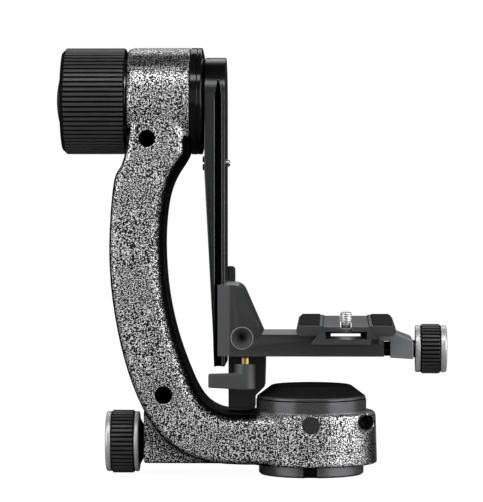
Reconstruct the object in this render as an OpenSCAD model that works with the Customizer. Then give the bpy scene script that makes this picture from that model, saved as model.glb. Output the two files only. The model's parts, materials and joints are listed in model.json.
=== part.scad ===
// Gimbal tripod head: a C-shaped frame pans on a base ring and carries a swing arm on a tilt shaft.
// Origin: pan axis where it meets the face that rests on the tripod. X points away from the frame
// towards the plate clamp, Y points away from the viewer, Z points up. Lengths are millimetres.

/* [Main places] */
// Height of the tilt axis above the base face
tilt_z = 210.5; // [200:0.5:225]
// Distance from the pan axis to the outermost point of the frame
arm_reach = 112.6; // [108:0.1:120]
// Height of the upper face of the frame's foot
deck_z = 35.4; // [34:0.1:36.5]
// Height of the lower face of the frame
foot_z = 7.4; // [6.8:0.1:8.5]

/* [Base ring and spindle] */
// Radius of the base ring
ring_r = 29.6; // [27:0.1:34]
// Thickness of the base ring
ring_h = 5.8; // [5:0.1:6.2]
// Chamfer on the lower edge of the base ring
ring_chamfer = 1; // [0.3:0.1:1.5]
// Width of the notch in the rim of the base ring
notch_w = 6.8; // [4:0.1:9]
// Depth of the notch in the rim of the base ring
notch_d = 2.6; // [1:0.1:4]
// Radius of the bore for the tripod thread
tripod_bore_r = 4.05; // [3.9:0.05:4.3]
// Depth of the bore for the tripod thread
tripod_bore_depth = 14; // [10:0.5:18]
// Radius of the spindle's foot, where it passes through the base ring
spindle_foot_r = 10; // [9:0.1:11]
// Radius of the spindle's flange
flange_r = 19; // [18:0.1:21]
// Thickness of the spindle's flange
flange_h = 3; // [2:0.1:3.5]
// Radius of the threaded top of the spindle
spindle_thread_r = 10; // [9:0.1:10.8]
// Radius of the nut on the spindle
spindle_nut_r = 15.2; // [14.5:0.1:17]
// Height of the nut on the spindle
spindle_nut_h = 3.6; // [3:0.1:4.2]
// Radius of the circle that the base screws stand on
base_screw_circle_r = 14.4; // [13.8:0.1:15]

/* [Bearings] */
// Radius of the shafts that the ball bearings run on
shaft_r = 12; // [11.5:0.1:12.3]
// Outer radius of a ball bearing
bearing_r = 20; // [19.5:0.1:20.6]
// Width of a ball bearing
bearing_w = 6; // [5:0.1:6.3]
// Radius of a bearing ball
ball_r = 1.8; // [1.5:0.1:2]
// Number of balls in a bearing
balls = 14; // [10:1:16]

/* [Frame] */
// Radius of the round tilt housing at the top of the frame
housing_r = 30; // [29:0.1:33]
// Distance from the pan axis to the housing's outer face
housing_x = 103.7; // [102:0.1:106]
// Width of the tilt housing along the tilt axis
housing_w = 35.9; // [35:0.1:37]
// Rounding of the housing's outer edge
housing_round = 3.5; // [1:0.1:5]
// Width of the frame's arm, front to back, at the top
arm_top_w = 57; // [50:0.5:59]
// Width of the frame's arm, front to back, at the foot
arm_foot_w = 64; // [60:0.5:68]
// Rounding of the arm's inner edges
inner_round = 8.5; // [4:0.1:10]
// Rounding of the arm's outer edges
outer_round = 3.2; // [1:0.1:5]
// Radius of the round pan housing at its top
pan_housing_r = 36.5; // [35.5:0.1:40]
// Height of the pan housing's upper face
pan_housing_z = 36; // [36:0.1:37.5]
// How much wider the pan housing is at its lower edge
pan_housing_flare = 0.8; // [0:0.1:2]
// Rounding of the pan housing's upper edge
pan_housing_round = 2.6; // [1:0.1:4]
// How far the lock block's outer face stands in from the tilt housing's
lock_block_inset = 9.9; // [7:0.1:13]
// Width of the lock block, front to back
lock_block_w = 44; // [36:0.5:54]
// Height at which the lock block runs into the arm
lock_block_z = 37; // [34:0.5:40]
// Radius of an accessory thread bore
socket_r = 4.05; // [3.9:0.05:4.3]
// Radius of the mouth of an accessory thread bore
socket_mouth_r = 4.8; // [4.5:0.1:5.2]
// Depth of an accessory thread bore
socket_depth = 16; // [12:0.5:18]
// How far the upper accessory bore stands in from the tilt housing's outer face
upper_socket_inset = 12.2; // [10:0.1:14]
// Height of the upper accessory bore
upper_socket_z = 189.4; // [184:0.1:189.4]
// How far the lower accessory bore stands in from the lock block's outer face
lower_socket_inset = 11.7; // [8:0.1:14]
// Height of the lower accessory bore
lower_socket_z = 46.5; // [42:0.1:52]

/* [Pan cap, plug and side screw] */
// How far the pan cap's wall stands in from the pan housing's
cap_inset = 5.4; // [4:0.1:7]
// Height of the pan cap's round wall
cap_wall_h = 6.5; // [5:0.1:8]
// How far the ridge where the cap's cone starts stands in from the cap's wall
cap_ridge_inset = 1.7; // [1:0.1:2.6]
// How far the flat top of the pan cap stands in from the cap's wall
cap_top_inset = 8.6; // [6:0.1:12]
// Height of the pan cap above the pan housing
cap_h = 14.3; // [12:0.1:16]
// Thickness of the pan cap's walls
cap_wall = 2.4; // [1.8:0.1:3]
// How far the spigot that seats the pan cap stands in from the cap's wall
cap_spigot_inset = 5.1; // [4.6:0.1:6]
// Length of the spigot that seats the pan cap
cap_spigot_h = 4; // [3:0.1:4.4]
// Radius of the round plug in the front of the pan housing
plug_r = 4.7; // [4:0.1:5]
// Height of the plug and of the side screw
plug_z = 29.9; // [24:0.1:30]
// How far the side screw stands in from the pan housing's side
side_screw_inset = 5.8; // [5.4:0.1:7]
// Radius of the side screw's head
side_screw_head_r = 4; // [3:0.1:4.2]
// Radius of the side screw's shank
side_screw_r = 2.5; // [2:0.1:3]

/* [Pan lock] */
// Height of the pan lock's axis
lock_z = 18; // [17.9:0.1:18.6]
// Radius of the pan lock's ribbed grip
pan_knob_r = 17.8; // [16:0.1:17.8]
// Width of the pan lock's ribbed grip
pan_grip_w = 13.2; // [10:0.1:15]
// Radius of the bright rims of the pan lock
pan_rim_r = 17; // [15.5:0.1:17.4]
// Width of the outer bright rim
pan_rim_outer_w = 3.1; // [2:0.1:4]
// Width of the inner bright rim
pan_rim_inner_w = 2.5; // [2:0.1:4]
// Length of the dark collar behind the pan knob
pan_collar_w = 2.6; // [2:0.1:4]
// Radius of the pan lock's stud
lock_stud_r = 3.5; // [3:0.1:4]
// Ribs round the pan lock's grip
pan_ribs = 43; // [30:1:50]

/* [Tilt shaft, flange and friction ring] */
// Width of the friction ring
friction_ring_w = 3.4; // [2.5:0.1:4]
// Depth of the friction ring's spigot in the housing
spigot_w = 3; // [2:0.1:3.4]
// Radius of the friction ring's spigot
spigot_r = 24.5; // [23:0.1:26]
// Width of the arm flange
arm_flange_w = 3.7; // [3.2:0.1:4.5]
// Radius of the arm flange's outer edge where its chamfer ends
arm_flange_small_r = 25; // [23:0.1:28]
// Length of the chamfer on the arm flange
arm_flange_chamfer = 1.2; // [0.6:0.1:1.6]
// Radius of the threaded end of the tilt shaft
tilt_thread_r = 6; // [5:0.1:7]
// Length of the threaded end of the tilt shaft
tilt_thread_l = 24; // [18:0.5:27]
// Radius of the shaft's spigot in the flange and the swing arm
arm_spigot_r = 8; // [7:0.1:9]
// Radius of the hub bolt's shank
hub_bolt_r = 4; // [3:0.1:5]
// Radius of the hub cap
hub_cap_r = 10; // [9.5:0.1:10.5]

/* [Tilt knob] */
// Radius of the tilt knob
tilt_knob_r = 29.9; // [28:0.1:32]
// Length of the tilt knob's grip
tilt_grip_w = 36.1; // [33:0.1:40]
// Length of the chamfer at the tilt knob's outer end
tilt_grip_chamfer = 2.5; // [1:0.1:3.5]
// Radius of the tilt knob's core
tilt_core_r = 26.4; // [25.6:0.1:27]
// Radius of the domed end cap
knob_cap_r = 18.2; // [16:0.1:20]
// Height of the end cap's dome
knob_cap_dome = 3.4; // [2:0.1:5]
// Ribs round the tilt knob
tilt_ribs = 66; // [50:1:74]
// Depth of the grooves between the ribs of a knob
rib_depth = 0.9; // [0.5:0.1:1.1]
// Radius of the thrust washer behind the tilt knob
thrust_washer_r = 24; // [22.5:0.1:25]

/* [Swing arm] */
// Thickness of the swing arm at the top
swing_t = 11.6; // [11:0.1:13]
// Thickness of the swing arm at its lower end
swing_foot_t = 5.8; // [5.2:0.1:8]
// Width of the swing arm
swing_w = 49; // [46:0.5:52]
// Height of the swing arm's lower end
swing_foot_z = 62; // [58:0.5:66]
// Height at which the swing arm starts to taper
swing_taper_z = 171; // [150:1:178]
// Height of the upper tip of the side grooves
groove_tip_z = 223; // [215:0.5:226]
// Width of the side grooves
groove_w = 3.6; // [3:0.1:3.7]
// Depth of the side grooves
groove_d = 3.4; // [2.5:0.1:4]
// Thickness of the rail that the grooves leave at the inner face
rail_t = 2.1; // [1.8:0.1:2.2]
// Height of the stop bolt
stop_z = 175.5; // [173:0.5:182]
// Radius of the stop bolt's head
stop_head_r = 3.95; // [3:0.05:5]
// Height of the stop bolt's head
stop_head_h = 1.8; // [1:0.1:2.2]

/* [Carriage] */
// Depth of the carriage in front of the tilt axis
carriage_near = 29; // [28:0.1:31]
// Depth of the carriage body behind the tilt axis
carriage_far = 24; // [22:0.1:24]
// Height of the carriage's lower face
carriage_z = 68; // [67:0.1:69]
// Height of the carriage's upper face
carriage_top_z = 107.8; // [104:0.1:112]
// Height of the platform's upper face
platform_z = 80.3; // [80:0.1:80.5]
// How far the platform runs past the plate's dovetail
platform_lip = 2.2; // [1.4:0.1:3]
// Length of the slanted outer face of the carriage's cheeks
cheek_slant = 6.8; // [4:0.1:8]
// Draft of the slanted outer face of the carriage's cheeks
cheek_draft = 2.2; // [1:0.1:2.6]
// Radius of the draw bar
bar_r = 6.4; // [5.5:0.1:6.8]
// Distance from the swing arm's face to the draw bar's axis
bar_inset = 9.6; // [9:0.1:10.5]
// Height of the draw bar's axis
bar_z = 78.3; // [78:0.1:80]
// Height of the far jaw's tab above the carriage
tab_h = 8.6; // [5:0.1:11]
// Thickness of the far jaw
far_jaw_t = 5; // [4:0.1:6]

/* [Grip block and height lever] */
// Width of the grip block along the platform
grip_w = 21; // [18:0.1:21.4]
// Depth of the grip block, front to back
grip_d = 20; // [14:0.5:21]
// Gap between the grip block and the upper face of the pan housing
grip_clear = 1.5; // [1.2:0.1:8]
// How far the height lever's axis stands back from the carriage's near face
lever_inset = 5.8; // [5.2:0.1:7]
// Radius of the height lever's hub
lever_hub_r = 6; // [5:0.1:6.2]
// Gap between the height lever's hub and the carriage
lever_gap = 4.3; // [3:0.1:6]
// Height of the height lever's hub
lever_hub_h = 14.4; // [11:0.1:15]
// Height of the height lever's handle where it leaves the hub
lever_h = 9.5; // [6:0.1:10]
// Height of the height lever's handle at its tip
lever_tip_h = 7.6; // [5:0.1:9]
// Length of the height lever's handle from its axis
lever_l = 20.3; // [16:0.1:21]
// Radius of the brass stud
stud_r = 2.85; // [2.4:0.05:3.2]

/* [Plate clamp] */
// Distance from the pan axis to the middle of the plate
plate_x = 19.5; // [19.3:0.1:19.7]
// Gap between the platform and the movable jaw
clamp_gap = 3.5; // [3.2:0.1:5]
// Thickness of the movable jaw along the spindle
clamp_jaw_t = 12.8; // [11:0.1:15]
// Width of the movable jaw, front to back
clamp_jaw_w = 50; // [44:0.5:56]
// Height of the spindle's axis
spindle_z = 70.8; // [70.6:0.1:71]
// Radius of the clamp spindle
clamp_spindle_r = 3; // [2.4:0.1:3]
// Radius of the guide pins
guide_pin_r = 3.1; // [2.6:0.1:3.1]
// Distance of the guide pins from the tilt axis, front to back
guide_pin_y = 16; // [13:0.5:18]
// Radius of the clamp knob's ribbed grip
clamp_knob_r = 14; // [12.5:0.1:15.5]
// Width of the clamp knob's ribbed grip
clamp_grip_w = 11.4; // [9:0.1:14]
// Radius of the bright rims of the clamp knob
clamp_rim_r = 13.3; // [12:0.1:13.6]
// Width of the inner bright rim of the clamp knob
clamp_rim_inner_w = 2.9; // [2:0.1:4]
// Width of the outer bright rim of the clamp knob
clamp_rim_outer_w = 3.1; // [2:0.1:4]
// Ribs round the clamp knob
clamp_ribs = 37; // [26:1:40]

/* [Quick-release plate] */
// Length of the plate
plate_l = 120; // [100:1:140]
// Width of the plate's flange
plate_w = 54.4; // [50:0.1:58]
// Width of the dovetail at its lower edge
dovetail_w = 38; // [37.8:0.1:38.2]
// Width of the dovetail at its waist
waist_w = 32.4; // [31.6:0.1:33.2]
// Height of the dovetail
dovetail_h = 4.7; // [4.6:0.1:4.9]
// Thickness of the plate's flange
plate_flange_h = 5.7; // [5.4:0.1:7]
// Width of each rubber pad
pad_w = 10.6; // [8:0.1:11]
// Height of the pads above the plate
pad_proud = 0.6; // [0.3:0.1:0.8]
// Width of the wide part of the T-slot
slot_w = 22.7; // [20:0.1:23]
// Height of the wide part of the T-slot
slot_h = 4.1; // [3.8:0.1:4.2]
// Radius of the camera screw's thread
camera_screw_r = 3.175; // [3.1:0.025:3.3]
// How far the camera screw stands above the plate
camera_screw_proud = 5.5; // [4:0.1:7]
// Radius of the camera screw's head
camera_head_r = 7.5; // [6:0.1:8]
// Distance of the camera screw in front of the tilt axis
camera_screw_y = 18; // [5:0.5:30]

/* [Hidden] */
$fn = 96;

// Clearances and overruns
fit = 0.02;              // a bearing on its shaft or in its seat, and a pressed pin
screw_gap = 0.05;        // a screw or a stud in its hole
slide_gap = 0.1;         // a part that slides on another
run_gap = 0.2;           // faces that turn past each other
over = 1;                // how far a cut runs past a face

// Base and spindle
flange_z = ring_h - flange_h;
collar_r = 14;
lower_bearing_rise = 0.6;
lower_bearing_z = foot_z + lower_bearing_rise;
bearing_span = 15.2;
upper_bearing_z = lower_bearing_z + bearing_span;
nut_z = upper_bearing_z + bearing_w;
nut_slot_w = 4;
base_screw_r = 1.5;
base_screw_head_r = 2.8;
base_screw_head_h = 1.3;
base_screw_l = 5.2;
race_wall = 2.5;
bearing_shoulder = 3;
web_r = bearing_r - bearing_shoulder;
housing_gap = 0.6;
housing_bottom_z = ring_h + housing_gap;

// Pan cap
cap_r = pan_housing_r - cap_inset;
cap_ridge_r = cap_r - cap_ridge_inset;
cap_top_r = cap_r - cap_top_inset;
cap_spigot_r = cap_r - cap_spigot_inset;
side_screw_x = pan_housing_r - side_screw_inset;
cap_recess_r = cap_spigot_r + screw_gap;
cap_step = 1.2;
cap_ridge_z = pan_housing_z + cap_wall_h + cap_step;
cap_dish = 0.5;
plug_depth = 5;
plug_set = 0.4;
side_screw_set = 3;
side_screw_l = 16;
side_screw_head_h = 4;
side_screw_hex_r = 2.3;
side_screw_room = 0.4;

// Tilt housing, from left to right
left_seat_x = -housing_x + bearing_w;
housing_right_x = -housing_x + housing_w;
spigot_x = housing_right_x - spigot_w;
right_bearing_x = spigot_x - bearing_w;
ring_gap = 0.3;
ring_x = housing_right_x + ring_gap;
ring_right_x = ring_x + friction_ring_w;
arm_flange_x = ring_right_x + run_gap;
arm_flange_face_x = arm_flange_x + arm_flange_w;
boss_proud = 0.6;
swing_left_x = arm_flange_face_x + boss_proud;
swing_right_x = swing_left_x + swing_t;
arm_boss_r = 20.5;
arm_spigot_set = 5;
spigot_end_x = swing_left_x + arm_spigot_set;
hub_head_r = 6.5;
hub_head_h = 4.6;
hub_bolt_l = 24;
hub_cap_t = 1.4;
arm_screw_circle_r = 16;
arm_screw_r = 2;
arm_screw_head_r = 3.6;
arm_screw_head_h = 3.6;
thrust_washer_w = 1.2;
washer_x = -housing_x - run_gap - thrust_washer_w;

// Ribs of the knobs: place across one rib, and depth
rib_shares = [[0, 0], [0.5, 0], [0.62, 1], [0.88, 1]];
hex_share = 0.8;

// Tilt knob
grip_gap = 0.6;
grip_right_x = -housing_x - grip_gap;
grip_left_x = grip_right_x - tilt_grip_w;
grip_lip_w = 2.8;
core_left_x = grip_left_x + grip_lip_w + slide_gap;
core_right_x = washer_x - run_gap;
knob_cap_spigot_r = 10;
knob_cap_spigot_l = 4.6;
core_wall = 4;
core_web = 7.6;
core_hole_r = 3;
core_hole_circle_r = 16;
tilt_bore_x = -housing_x - run_gap - tilt_thread_l - over;

// Pan lock
lock_block_x = housing_x - lock_block_inset;
upper_socket_x = housing_x - upper_socket_inset;
lower_socket_x = lock_block_x - lower_socket_inset;
pan_knob_gap = 0.8;
pan_knob_left_x = -lock_block_x - pan_knob_gap - pan_collar_w - pan_rim_inner_w - pan_grip_w
    - pan_rim_outer_w;
pan_grip_x = pan_knob_left_x + pan_rim_outer_w;
pan_rim_x = pan_grip_x + pan_grip_w;
pan_collar_x = pan_rim_x + pan_rim_inner_w;
pan_collar_end_x = pan_collar_x + pan_collar_w;
pan_core_r = 14;
pan_collar_r = 14;
pan_collar_small_r = 9;
knob_edge = 1;
shoe_l = 5;
shoe_gap = 0.3;
shoe_x = -shaft_r - shoe_gap - shoe_l;

// Frame arm: how the section runs from the housing down to the pan housing. Each row has the outer
// point's reach and height, then the inner point's, and the share of the bulge that both move out
// by. The reaches are shares of housing_x and of housing_right_x, the heights of the tilt height.
arm_shares = [
    [0.964, 0.968, 1.049, 0.963, 0],
    [0.996, 0.869, 1.006, 0.849, 0],
    [1.000, 0.823, 1.017, 0.802, 0.24],
    [1.000, 0.793, 1.039, 0.757, 0.63],
    [1.000, 0.741, 1.075, 0.695, 0.82],
    [1.000, 0.662, 1.089, 0.603, 0.96],
    [1.000, 0.564, 1.087, 0.500, 1],
    [1.000, 0.451, 1.084, 0.375, 0.8],
    [1.000, 0.328, 1.075, 0.243, 0.29],
    [0.961, 0.219, 0.991, 0.114, 0],
    [0.882, 0.133, 0.893, 0.045, 0],
    [0.776, 0.063, 0.780, 0.012, 0],
    [0.636, 0.021, 0.650, 0.000, 0],
    [0.463, 0.002, 0.502, 0.000, 0],
    [0.193, 0.000, 0.220, 0.000, 0]];
arm_bulge = arm_reach - housing_x;
arm_steps = 3;
// How far the lock block runs in under the arm: at its top, below the deck and at its foot
block_shares = [0.84, 0.42, 0.36];
upper_socket_share = 0.07;
lower_socket_share = 0.67;
inner_steps = 4;
outer_steps = 2;

// Swing arm and its stop
groove_x = swing_right_x - rail_t - groove_w;
groove_tip_l = 9;
stop_bolt_r = 2;
stop_slot_w = 1;
stop_nub_l = 3.4;
stop_nub_proud = 1.5;

// Carriage
cheek_wrap = 4.1;
cheek_x = swing_right_x - cheek_wrap;
lip_gap = 0.2;
lip_x = swing_right_x - rail_t - lip_gap;
lip_y = swing_w / 2 - groove_d + lip_gap;
cheek_y = swing_w / 2 + slide_gap;
seat_x = swing_right_x + slide_gap;
gusset_reach = 20.9;
gusset_x = swing_right_x + gusset_reach;
gusset_round = 7;
gusset_lean = 23.7;
gusset_arc_z = carriage_top_z - gusset_round;
gusset_arc_x = gusset_x - (gusset_arc_z - platform_z) * tan(gusset_lean)
    - gusset_round / cos(gusset_lean);
far_jaw_gap = 0.4;
far_jaw_y = carriage_far + far_jaw_gap;
far_jaw_inset = 4.4;
far_jaw_right_x = gusset_x - far_jaw_inset;
far_jaw_foot = 2;
far_jaw_foot_z = carriage_z + far_jaw_foot;
tab_reach = 4.2;
tab_x = swing_right_x + tab_reach;
bar_x = swing_right_x + bar_inset;
platform_x = plate_x + dovetail_w / 2 + platform_lip;
tab_round = 2;
dish_rim = 0.8;
dish_r = 1;
dish_depth = 2.6;
draw_screw_r = 2.5;
draw_screw_head_r = 4.4;
draw_screw_head_h = 2.6;
draw_screw_l = 14;

// Grip block and lever
grip_offset = 1.4;
grip_x = swing_right_x + grip_offset;
grip_taper = 0.7;
cap_clear = 0.5;
grip_corner_x = -cap_r - cap_clear;
grip_foot_z = pan_housing_z + grip_clear;
grip_corner_rise = 1.9;
grip_corner_z = pan_housing_z + cap_wall_h + grip_corner_rise;
grip_slope_z = pan_housing_z + cap_h + run_gap;
grip_screw_r = 1.6;
grip_screw_head_r = 2.8;
grip_screw_inset = 4;
grip_screw_x = grip_x + grip_w - grip_screw_inset;
grip_screw_y = 5;
grip_screw_set = 6;
grip_screw_head_z = carriage_z - grip_screw_set;
grip_screw_bite = 7;
grip_screw_tip_z = carriage_z + grip_screw_bite;
stud_offset = 1.5;
stud_x = bar_x + stud_offset;
lever_y = carriage_near - lever_inset;
lever_z = carriage_z - lever_gap - lever_hub_h;
stud_bite = 1.4;
stud_tip_z = bar_z - bar_r + stud_bite;
stud_set = 2;
stud_foot_z = lever_z + stud_set;
stud_room = 0.4;
notch_r = 3.9;
// The handle stands in front of the swing arm, so that it passes the arm as the carriage rises
lever_clear = 0.6;
lever_back = swing_w / 2 + lever_clear - lever_y;
lever_front = 7.6;
lever_crank = 8.6;
lever_heel_x = 5.2;
lever_heel_y = 3;
lever_rise = 1.3;

// Clamp and plate
plate_z = 76.5;
channel_z = plate_z - slide_gap;
dovetail_flat = 0.6;
flank_gap = 0.15;
waist_z = plate_z + dovetail_h;
plate_top_z = waist_z + plate_flange_h;
jaw_x = platform_x + clamp_gap;
jaw_end_x = jaw_x + clamp_jaw_t;
jaw_foot_drop = 0.8;
jaw_slope = 3.3;
jaw_open = 4;
spindle_bite = 31.7;
spindle_tip_x = platform_x - spindle_bite;
guide_bite = 15.7;
guide_tip_x = platform_x - guide_bite;
guide_set = 6;
guide_end_x = jaw_x + guide_set;
clamp_knob_gap = 1.6;
clamp_knob_x = jaw_end_x + clamp_knob_gap;
clamp_grip_x = clamp_knob_x + clamp_rim_inner_w;
clamp_rim_x = clamp_grip_x + clamp_grip_w;
clamp_end_x = clamp_rim_x + clamp_rim_outer_w;
clamp_core_r = 11.4;
clamp_collar_r = 5;
clamp_end_dome = 0.5;
flange_edge = 1.6;
centre_sink = 0.6;
centre_w = 26;
pad_inset = 1.9;
pad_depth = 1.2;
pad_end = 1.5;
slot_rise = 3;
slot_z = plate_z + slot_rise;
slot_top_z = slot_z + slot_h;
screw_slot_w = 2 * (camera_screw_r + slide_gap);
access_w = 17;
access_end = 12;
end_notch_w = 4.4;
end_notch_l = 6;
end_notch_edge = 0.9;
end_notch_x = plate_x + dovetail_w / 2 - end_notch_edge - end_notch_w;
washer_t = 0.6;
washer_r = 6.8;
camera_head_h = 1.8;
screw_tip = 0.6;
camera_shank_r = 2.7;
camera_head_z = slot_top_z - slide_gap - washer_t - slide_gap - camera_head_h;
coin_slot_w = 1.6;
coin_slot_d = 1;

// Straight rods along the three axes, and a solid turned about the X axis
module rod_x(r, x0, x1) translate([x0, 0, 0]) rotate([0, 90, 0]) cylinder(r = r, h = x1 - x0);
module rod_y(r, y0, y1) translate([0, y0, 0]) rotate([-90, 0, 0]) cylinder(r = r, h = y1 - y0);
module rod_z(r, z0, z1) translate([0, 0, z0]) cylinder(r = r, h = z1 - z0);
module cone_x(r0, r1, x0, x1)
    translate([x0, 0, 0]) rotate([0, 90, 0]) cylinder(r1 = r0, r2 = r1, h = x1 - x0);
// The outline's points are radius and place along X
module turned_x(outline) rotate([0, 90, 0]) rotate_extrude() polygon(outline);
// An outline in X and Z, made solid from y0 to y1
module slab_y(y0, y1) translate([0, y1, 0]) rotate([90, 0, 0]) linear_extrude(y1 - y0) children();
module tilt_frame() translate([0, 0, tilt_z]) children();
module lock_frame() translate([0, 0, lock_z]) children();
module clamp_frame() translate([0, 0, spindle_z]) children();

// Points of an arc round centre c, from angle a0 to a1
function arc(c, r, a0, a1, steps = 6) =
    [for (i = [0 : steps]) let (a = a0 + (a1 - a0) * i / steps) c + r * [cos(a), sin(a)]];

// A ball bearing that stands on its lower face at the origin
module ball_bearing() {
    pitch_r = (shaft_r + bearing_r) / 2;
    race = ball_r + screw_gap;
    difference() {
        union() {
            difference() {
                cylinder(r = shaft_r + race_wall, h = bearing_w);
                translate([0, 0, -over]) cylinder(r = shaft_r + fit, h = bearing_w + 2 * over);
            }
            difference() {
                cylinder(r = bearing_r, h = bearing_w);
                translate([0, 0, -over])
                    cylinder(r = bearing_r - race_wall, h = bearing_w + 2 * over);
            }
        }
        rotate_extrude() translate([pitch_r, bearing_w / 2]) circle(r = race, $fn = 32);
    }
    for (i = [0 : balls - 1])
        rotate(i * 360 / balls) translate([pitch_r, 0, bearing_w / 2]) sphere(r = ball_r, $fn = 32);
}

// A ribbed ring along X from x0: straight ribs round the rim and a bore through the middle
module ribbed_ring(r, ribs, x0, w, bore_r, edge) {
    step = 360 / ribs;
    rim = [for (i = [0 : ribs - 1], p = rib_shares)
        let (a = (i + p[0]) * step, q = r - p[1] * rib_depth) q * [cos(a), sin(a)]];
    difference() {
        intersection() {
            translate([x0, 0, 0]) rotate([0, 90, 0]) linear_extrude(w) polygon(rim);
            turned_x([[0, x0], [r - edge, x0], [r, x0 + edge], [r, x0 + w - edge],
                [r - edge, x0 + w], [0, x0 + w]]);
        }
        rod_x(bore_r, x0 - over, x0 + w + over);
    }
}

// Frame arm, as a skin over rounded sections
function spline(a, b, c, d, t) =
    0.5 * (2 * b + (c - a) * t + (2 * a - 5 * b + 4 * c - d) * t * t
        + (3 * b - a - 3 * c + d) * t * t * t);
function arm_row(i) = arm_shares[max(0, min(len(arm_shares) - 1, i))];
arm_last = (len(arm_shares) - 1) * arm_steps;
function arm_share(k) =
    let (i = min(floor(k / arm_steps), len(arm_shares) - 2), t = k / arm_steps - i)
    spline(arm_row(i - 1), arm_row(i), arm_row(i + 1), arm_row(i + 2), t);
// Outer point, inner point and half width of section k
function arm_section(k) =
    let (s = arm_share(k), width_share = k / arm_last)
    [[-housing_x * s[0] - arm_bulge * s[4], foot_z + (tilt_z - foot_z) * s[1]],
     [housing_right_x * s[2] - arm_bulge * s[4], deck_z + (tilt_z - deck_z) * s[3]],
     (arm_top_w + (arm_foot_w - arm_top_w) * width_share) / 2];
// Points round a section: distance from the outer point, and place front to back
function arm_rim(l, w) =
    let (ri = inner_round, ro = outer_round,
        near = concat(arc([ro, -w + ro], ro, 180, 270, outer_steps),
            arc([l - ri, -w + ri], ri, 270, 360, inner_steps)),
        n = len(near))
    concat(near, [for (i = [n - 1 : -1 : 0]) [near[i][0], -near[i][1]]]);
function arm_ring(k) =
    let (s = arm_section(k), u = s[1] - s[0], l = norm(u))
    [for (p = arm_rim(l, s[2])) [s[0][0] + u[0] / l * p[0], p[1], s[0][1] + u[1] / l * p[0]]];
module arm_skin() {
    rings = [for (k = [0 : arm_last]) arm_ring(k)];
    n = len(rings[0]);
    points = [for (ring = rings, p = ring) p];
    sides = [for (k = [0 : arm_last - 1], i = [0 : n - 1], half = [0, 1])
        let (a = k * n + i, b = k * n + (i + 1) % n, c = b + n, d = a + n)
        half == 0 ? [a, b, c] : [a, c, d]];
    first = [for (i = [n - 1 : -1 : 0]) i];
    last = [for (i = [0 : n - 1]) arm_last * n + i];
    polyhedron(points, concat([first], sides, [last]), convexity = 8);
}
// An accessory bore in the near face, where the arm's width is this share of the way to the foot
module accessory_bore(x, z, width_share) {
    face_y = -(arm_top_w + (arm_foot_w - arm_top_w) * width_share) / 2;
    chamfer = socket_mouth_r - socket_r;
    translate([x, 0, z]) {
        rod_y(socket_r, face_y - over, face_y + socket_depth);
        translate([0, face_y - chamfer, 0]) rotate([-90, 0, 0])
            cylinder(r1 = socket_mouth_r + chamfer, r2 = socket_r, h = 2 * chamfer);
    }
}
module frame_casting() color("dimgray") difference() {
    union() {
        arm_skin();
        tilt_frame() turned_x(concat([[0, -housing_x]],
            arc([housing_r - housing_round, -housing_x + housing_round], housing_round, 270, 360),
            [[housing_r, housing_right_x], [0, housing_right_x]]));
        rotate_extrude() polygon(concat([[0, housing_bottom_z],
                [pan_housing_r + pan_housing_flare, housing_bottom_z]],
            arc([pan_housing_r - pan_housing_round, pan_housing_z - pan_housing_round],
                pan_housing_round, 0, 90), [[0, pan_housing_z]]));
        slab_y(-lock_block_w / 2, lock_block_w / 2) polygon([[-lock_block_x, foot_z],
            [-lock_block_x, lock_block_z], [-lock_block_x * block_shares[0], lock_block_z],
            [-lock_block_x * block_shares[1], deck_z - inner_round],
            [-lock_block_x * block_shares[2], foot_z]]);
    }
    // Pan bearings, shaft and cap
    rod_z(bearing_r + fit, housing_bottom_z - over, lower_bearing_z + bearing_w);
    rod_z(web_r, housing_bottom_z - over, pan_housing_z + over);
    rod_z(bearing_r + fit, upper_bearing_z, pan_housing_z + over);
    rod_z(cap_recess_r, pan_housing_z - cap_spigot_h - slide_gap, pan_housing_z + over);
    // Plug, side screw and pan lock
    translate([0, 0, plug_z]) rod_y(plug_r + fit, -2 * pan_housing_r, -pan_housing_r + plug_depth);
    translate([side_screw_x, 0, plug_z]) {
        rod_y(side_screw_head_r + side_screw_room, -2 * pan_housing_r, side_screw_y + side_screw_head_h);
        rod_y(side_screw_r + screw_gap, -2 * pan_housing_r, side_screw_y + side_screw_l + over);
    }
    lock_frame() rod_x(lock_stud_r + screw_gap, -2 * lock_block_x, -shaft_r);
    // Tilt bearings and shaft
    tilt_frame() {
        rod_x(bearing_r + fit, -2 * housing_x, left_seat_x);
        rod_x(web_r, -2 * housing_x, housing_right_x + over);
        rod_x(bearing_r + fit, right_bearing_x, housing_right_x + over);
        rod_x(spigot_r + screw_gap, spigot_x - fit, housing_right_x + over);
    }
    accessory_bore(-upper_socket_x, upper_socket_z, upper_socket_share);
    accessory_bore(-lower_socket_x, lower_socket_z, lower_socket_share);
}

// Base
module base_ring() color("dimgray") difference() {
    rotate_extrude() polygon([[0, 0], [ring_r - ring_chamfer, 0], [ring_r, ring_chamfer],
        [ring_r, ring_h], [0, ring_h]]);
    rod_z(spindle_foot_r + fit, -over, ring_h);
    rod_z(flange_r + fit, flange_z, ring_h + over);
    base_screw_places() {
        rod_z(base_screw_r + screw_gap, -over, ring_h);
        rod_z(base_screw_head_r + 3 * screw_gap, -over, screw_gap);
        translate([0, 0, screw_gap]) base_screw_head(3 * screw_gap);
    }
    translate([-notch_w / 2, -ring_r - over, -over]) cube([notch_w, notch_d + over, ring_h + 2 * over]);
}
module base_screw_places()
    for (i = [0 : 2]) rotate(30 + i * 120) translate([base_screw_circle_r, 0, 0]) children();
module base_screw_head(gap)
    cylinder(r1 = base_screw_head_r + gap, r2 = base_screw_r + gap, h = base_screw_head_h);
module base_screws() color("black") base_screw_places() difference() {
    union() {
        translate([0, 0, screw_gap]) base_screw_head(0);
        rod_z(base_screw_r, base_screw_head_h, base_screw_l);
    }
    rod_z(base_screw_r / 2, 0, base_screw_head_h / 2);
}
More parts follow.
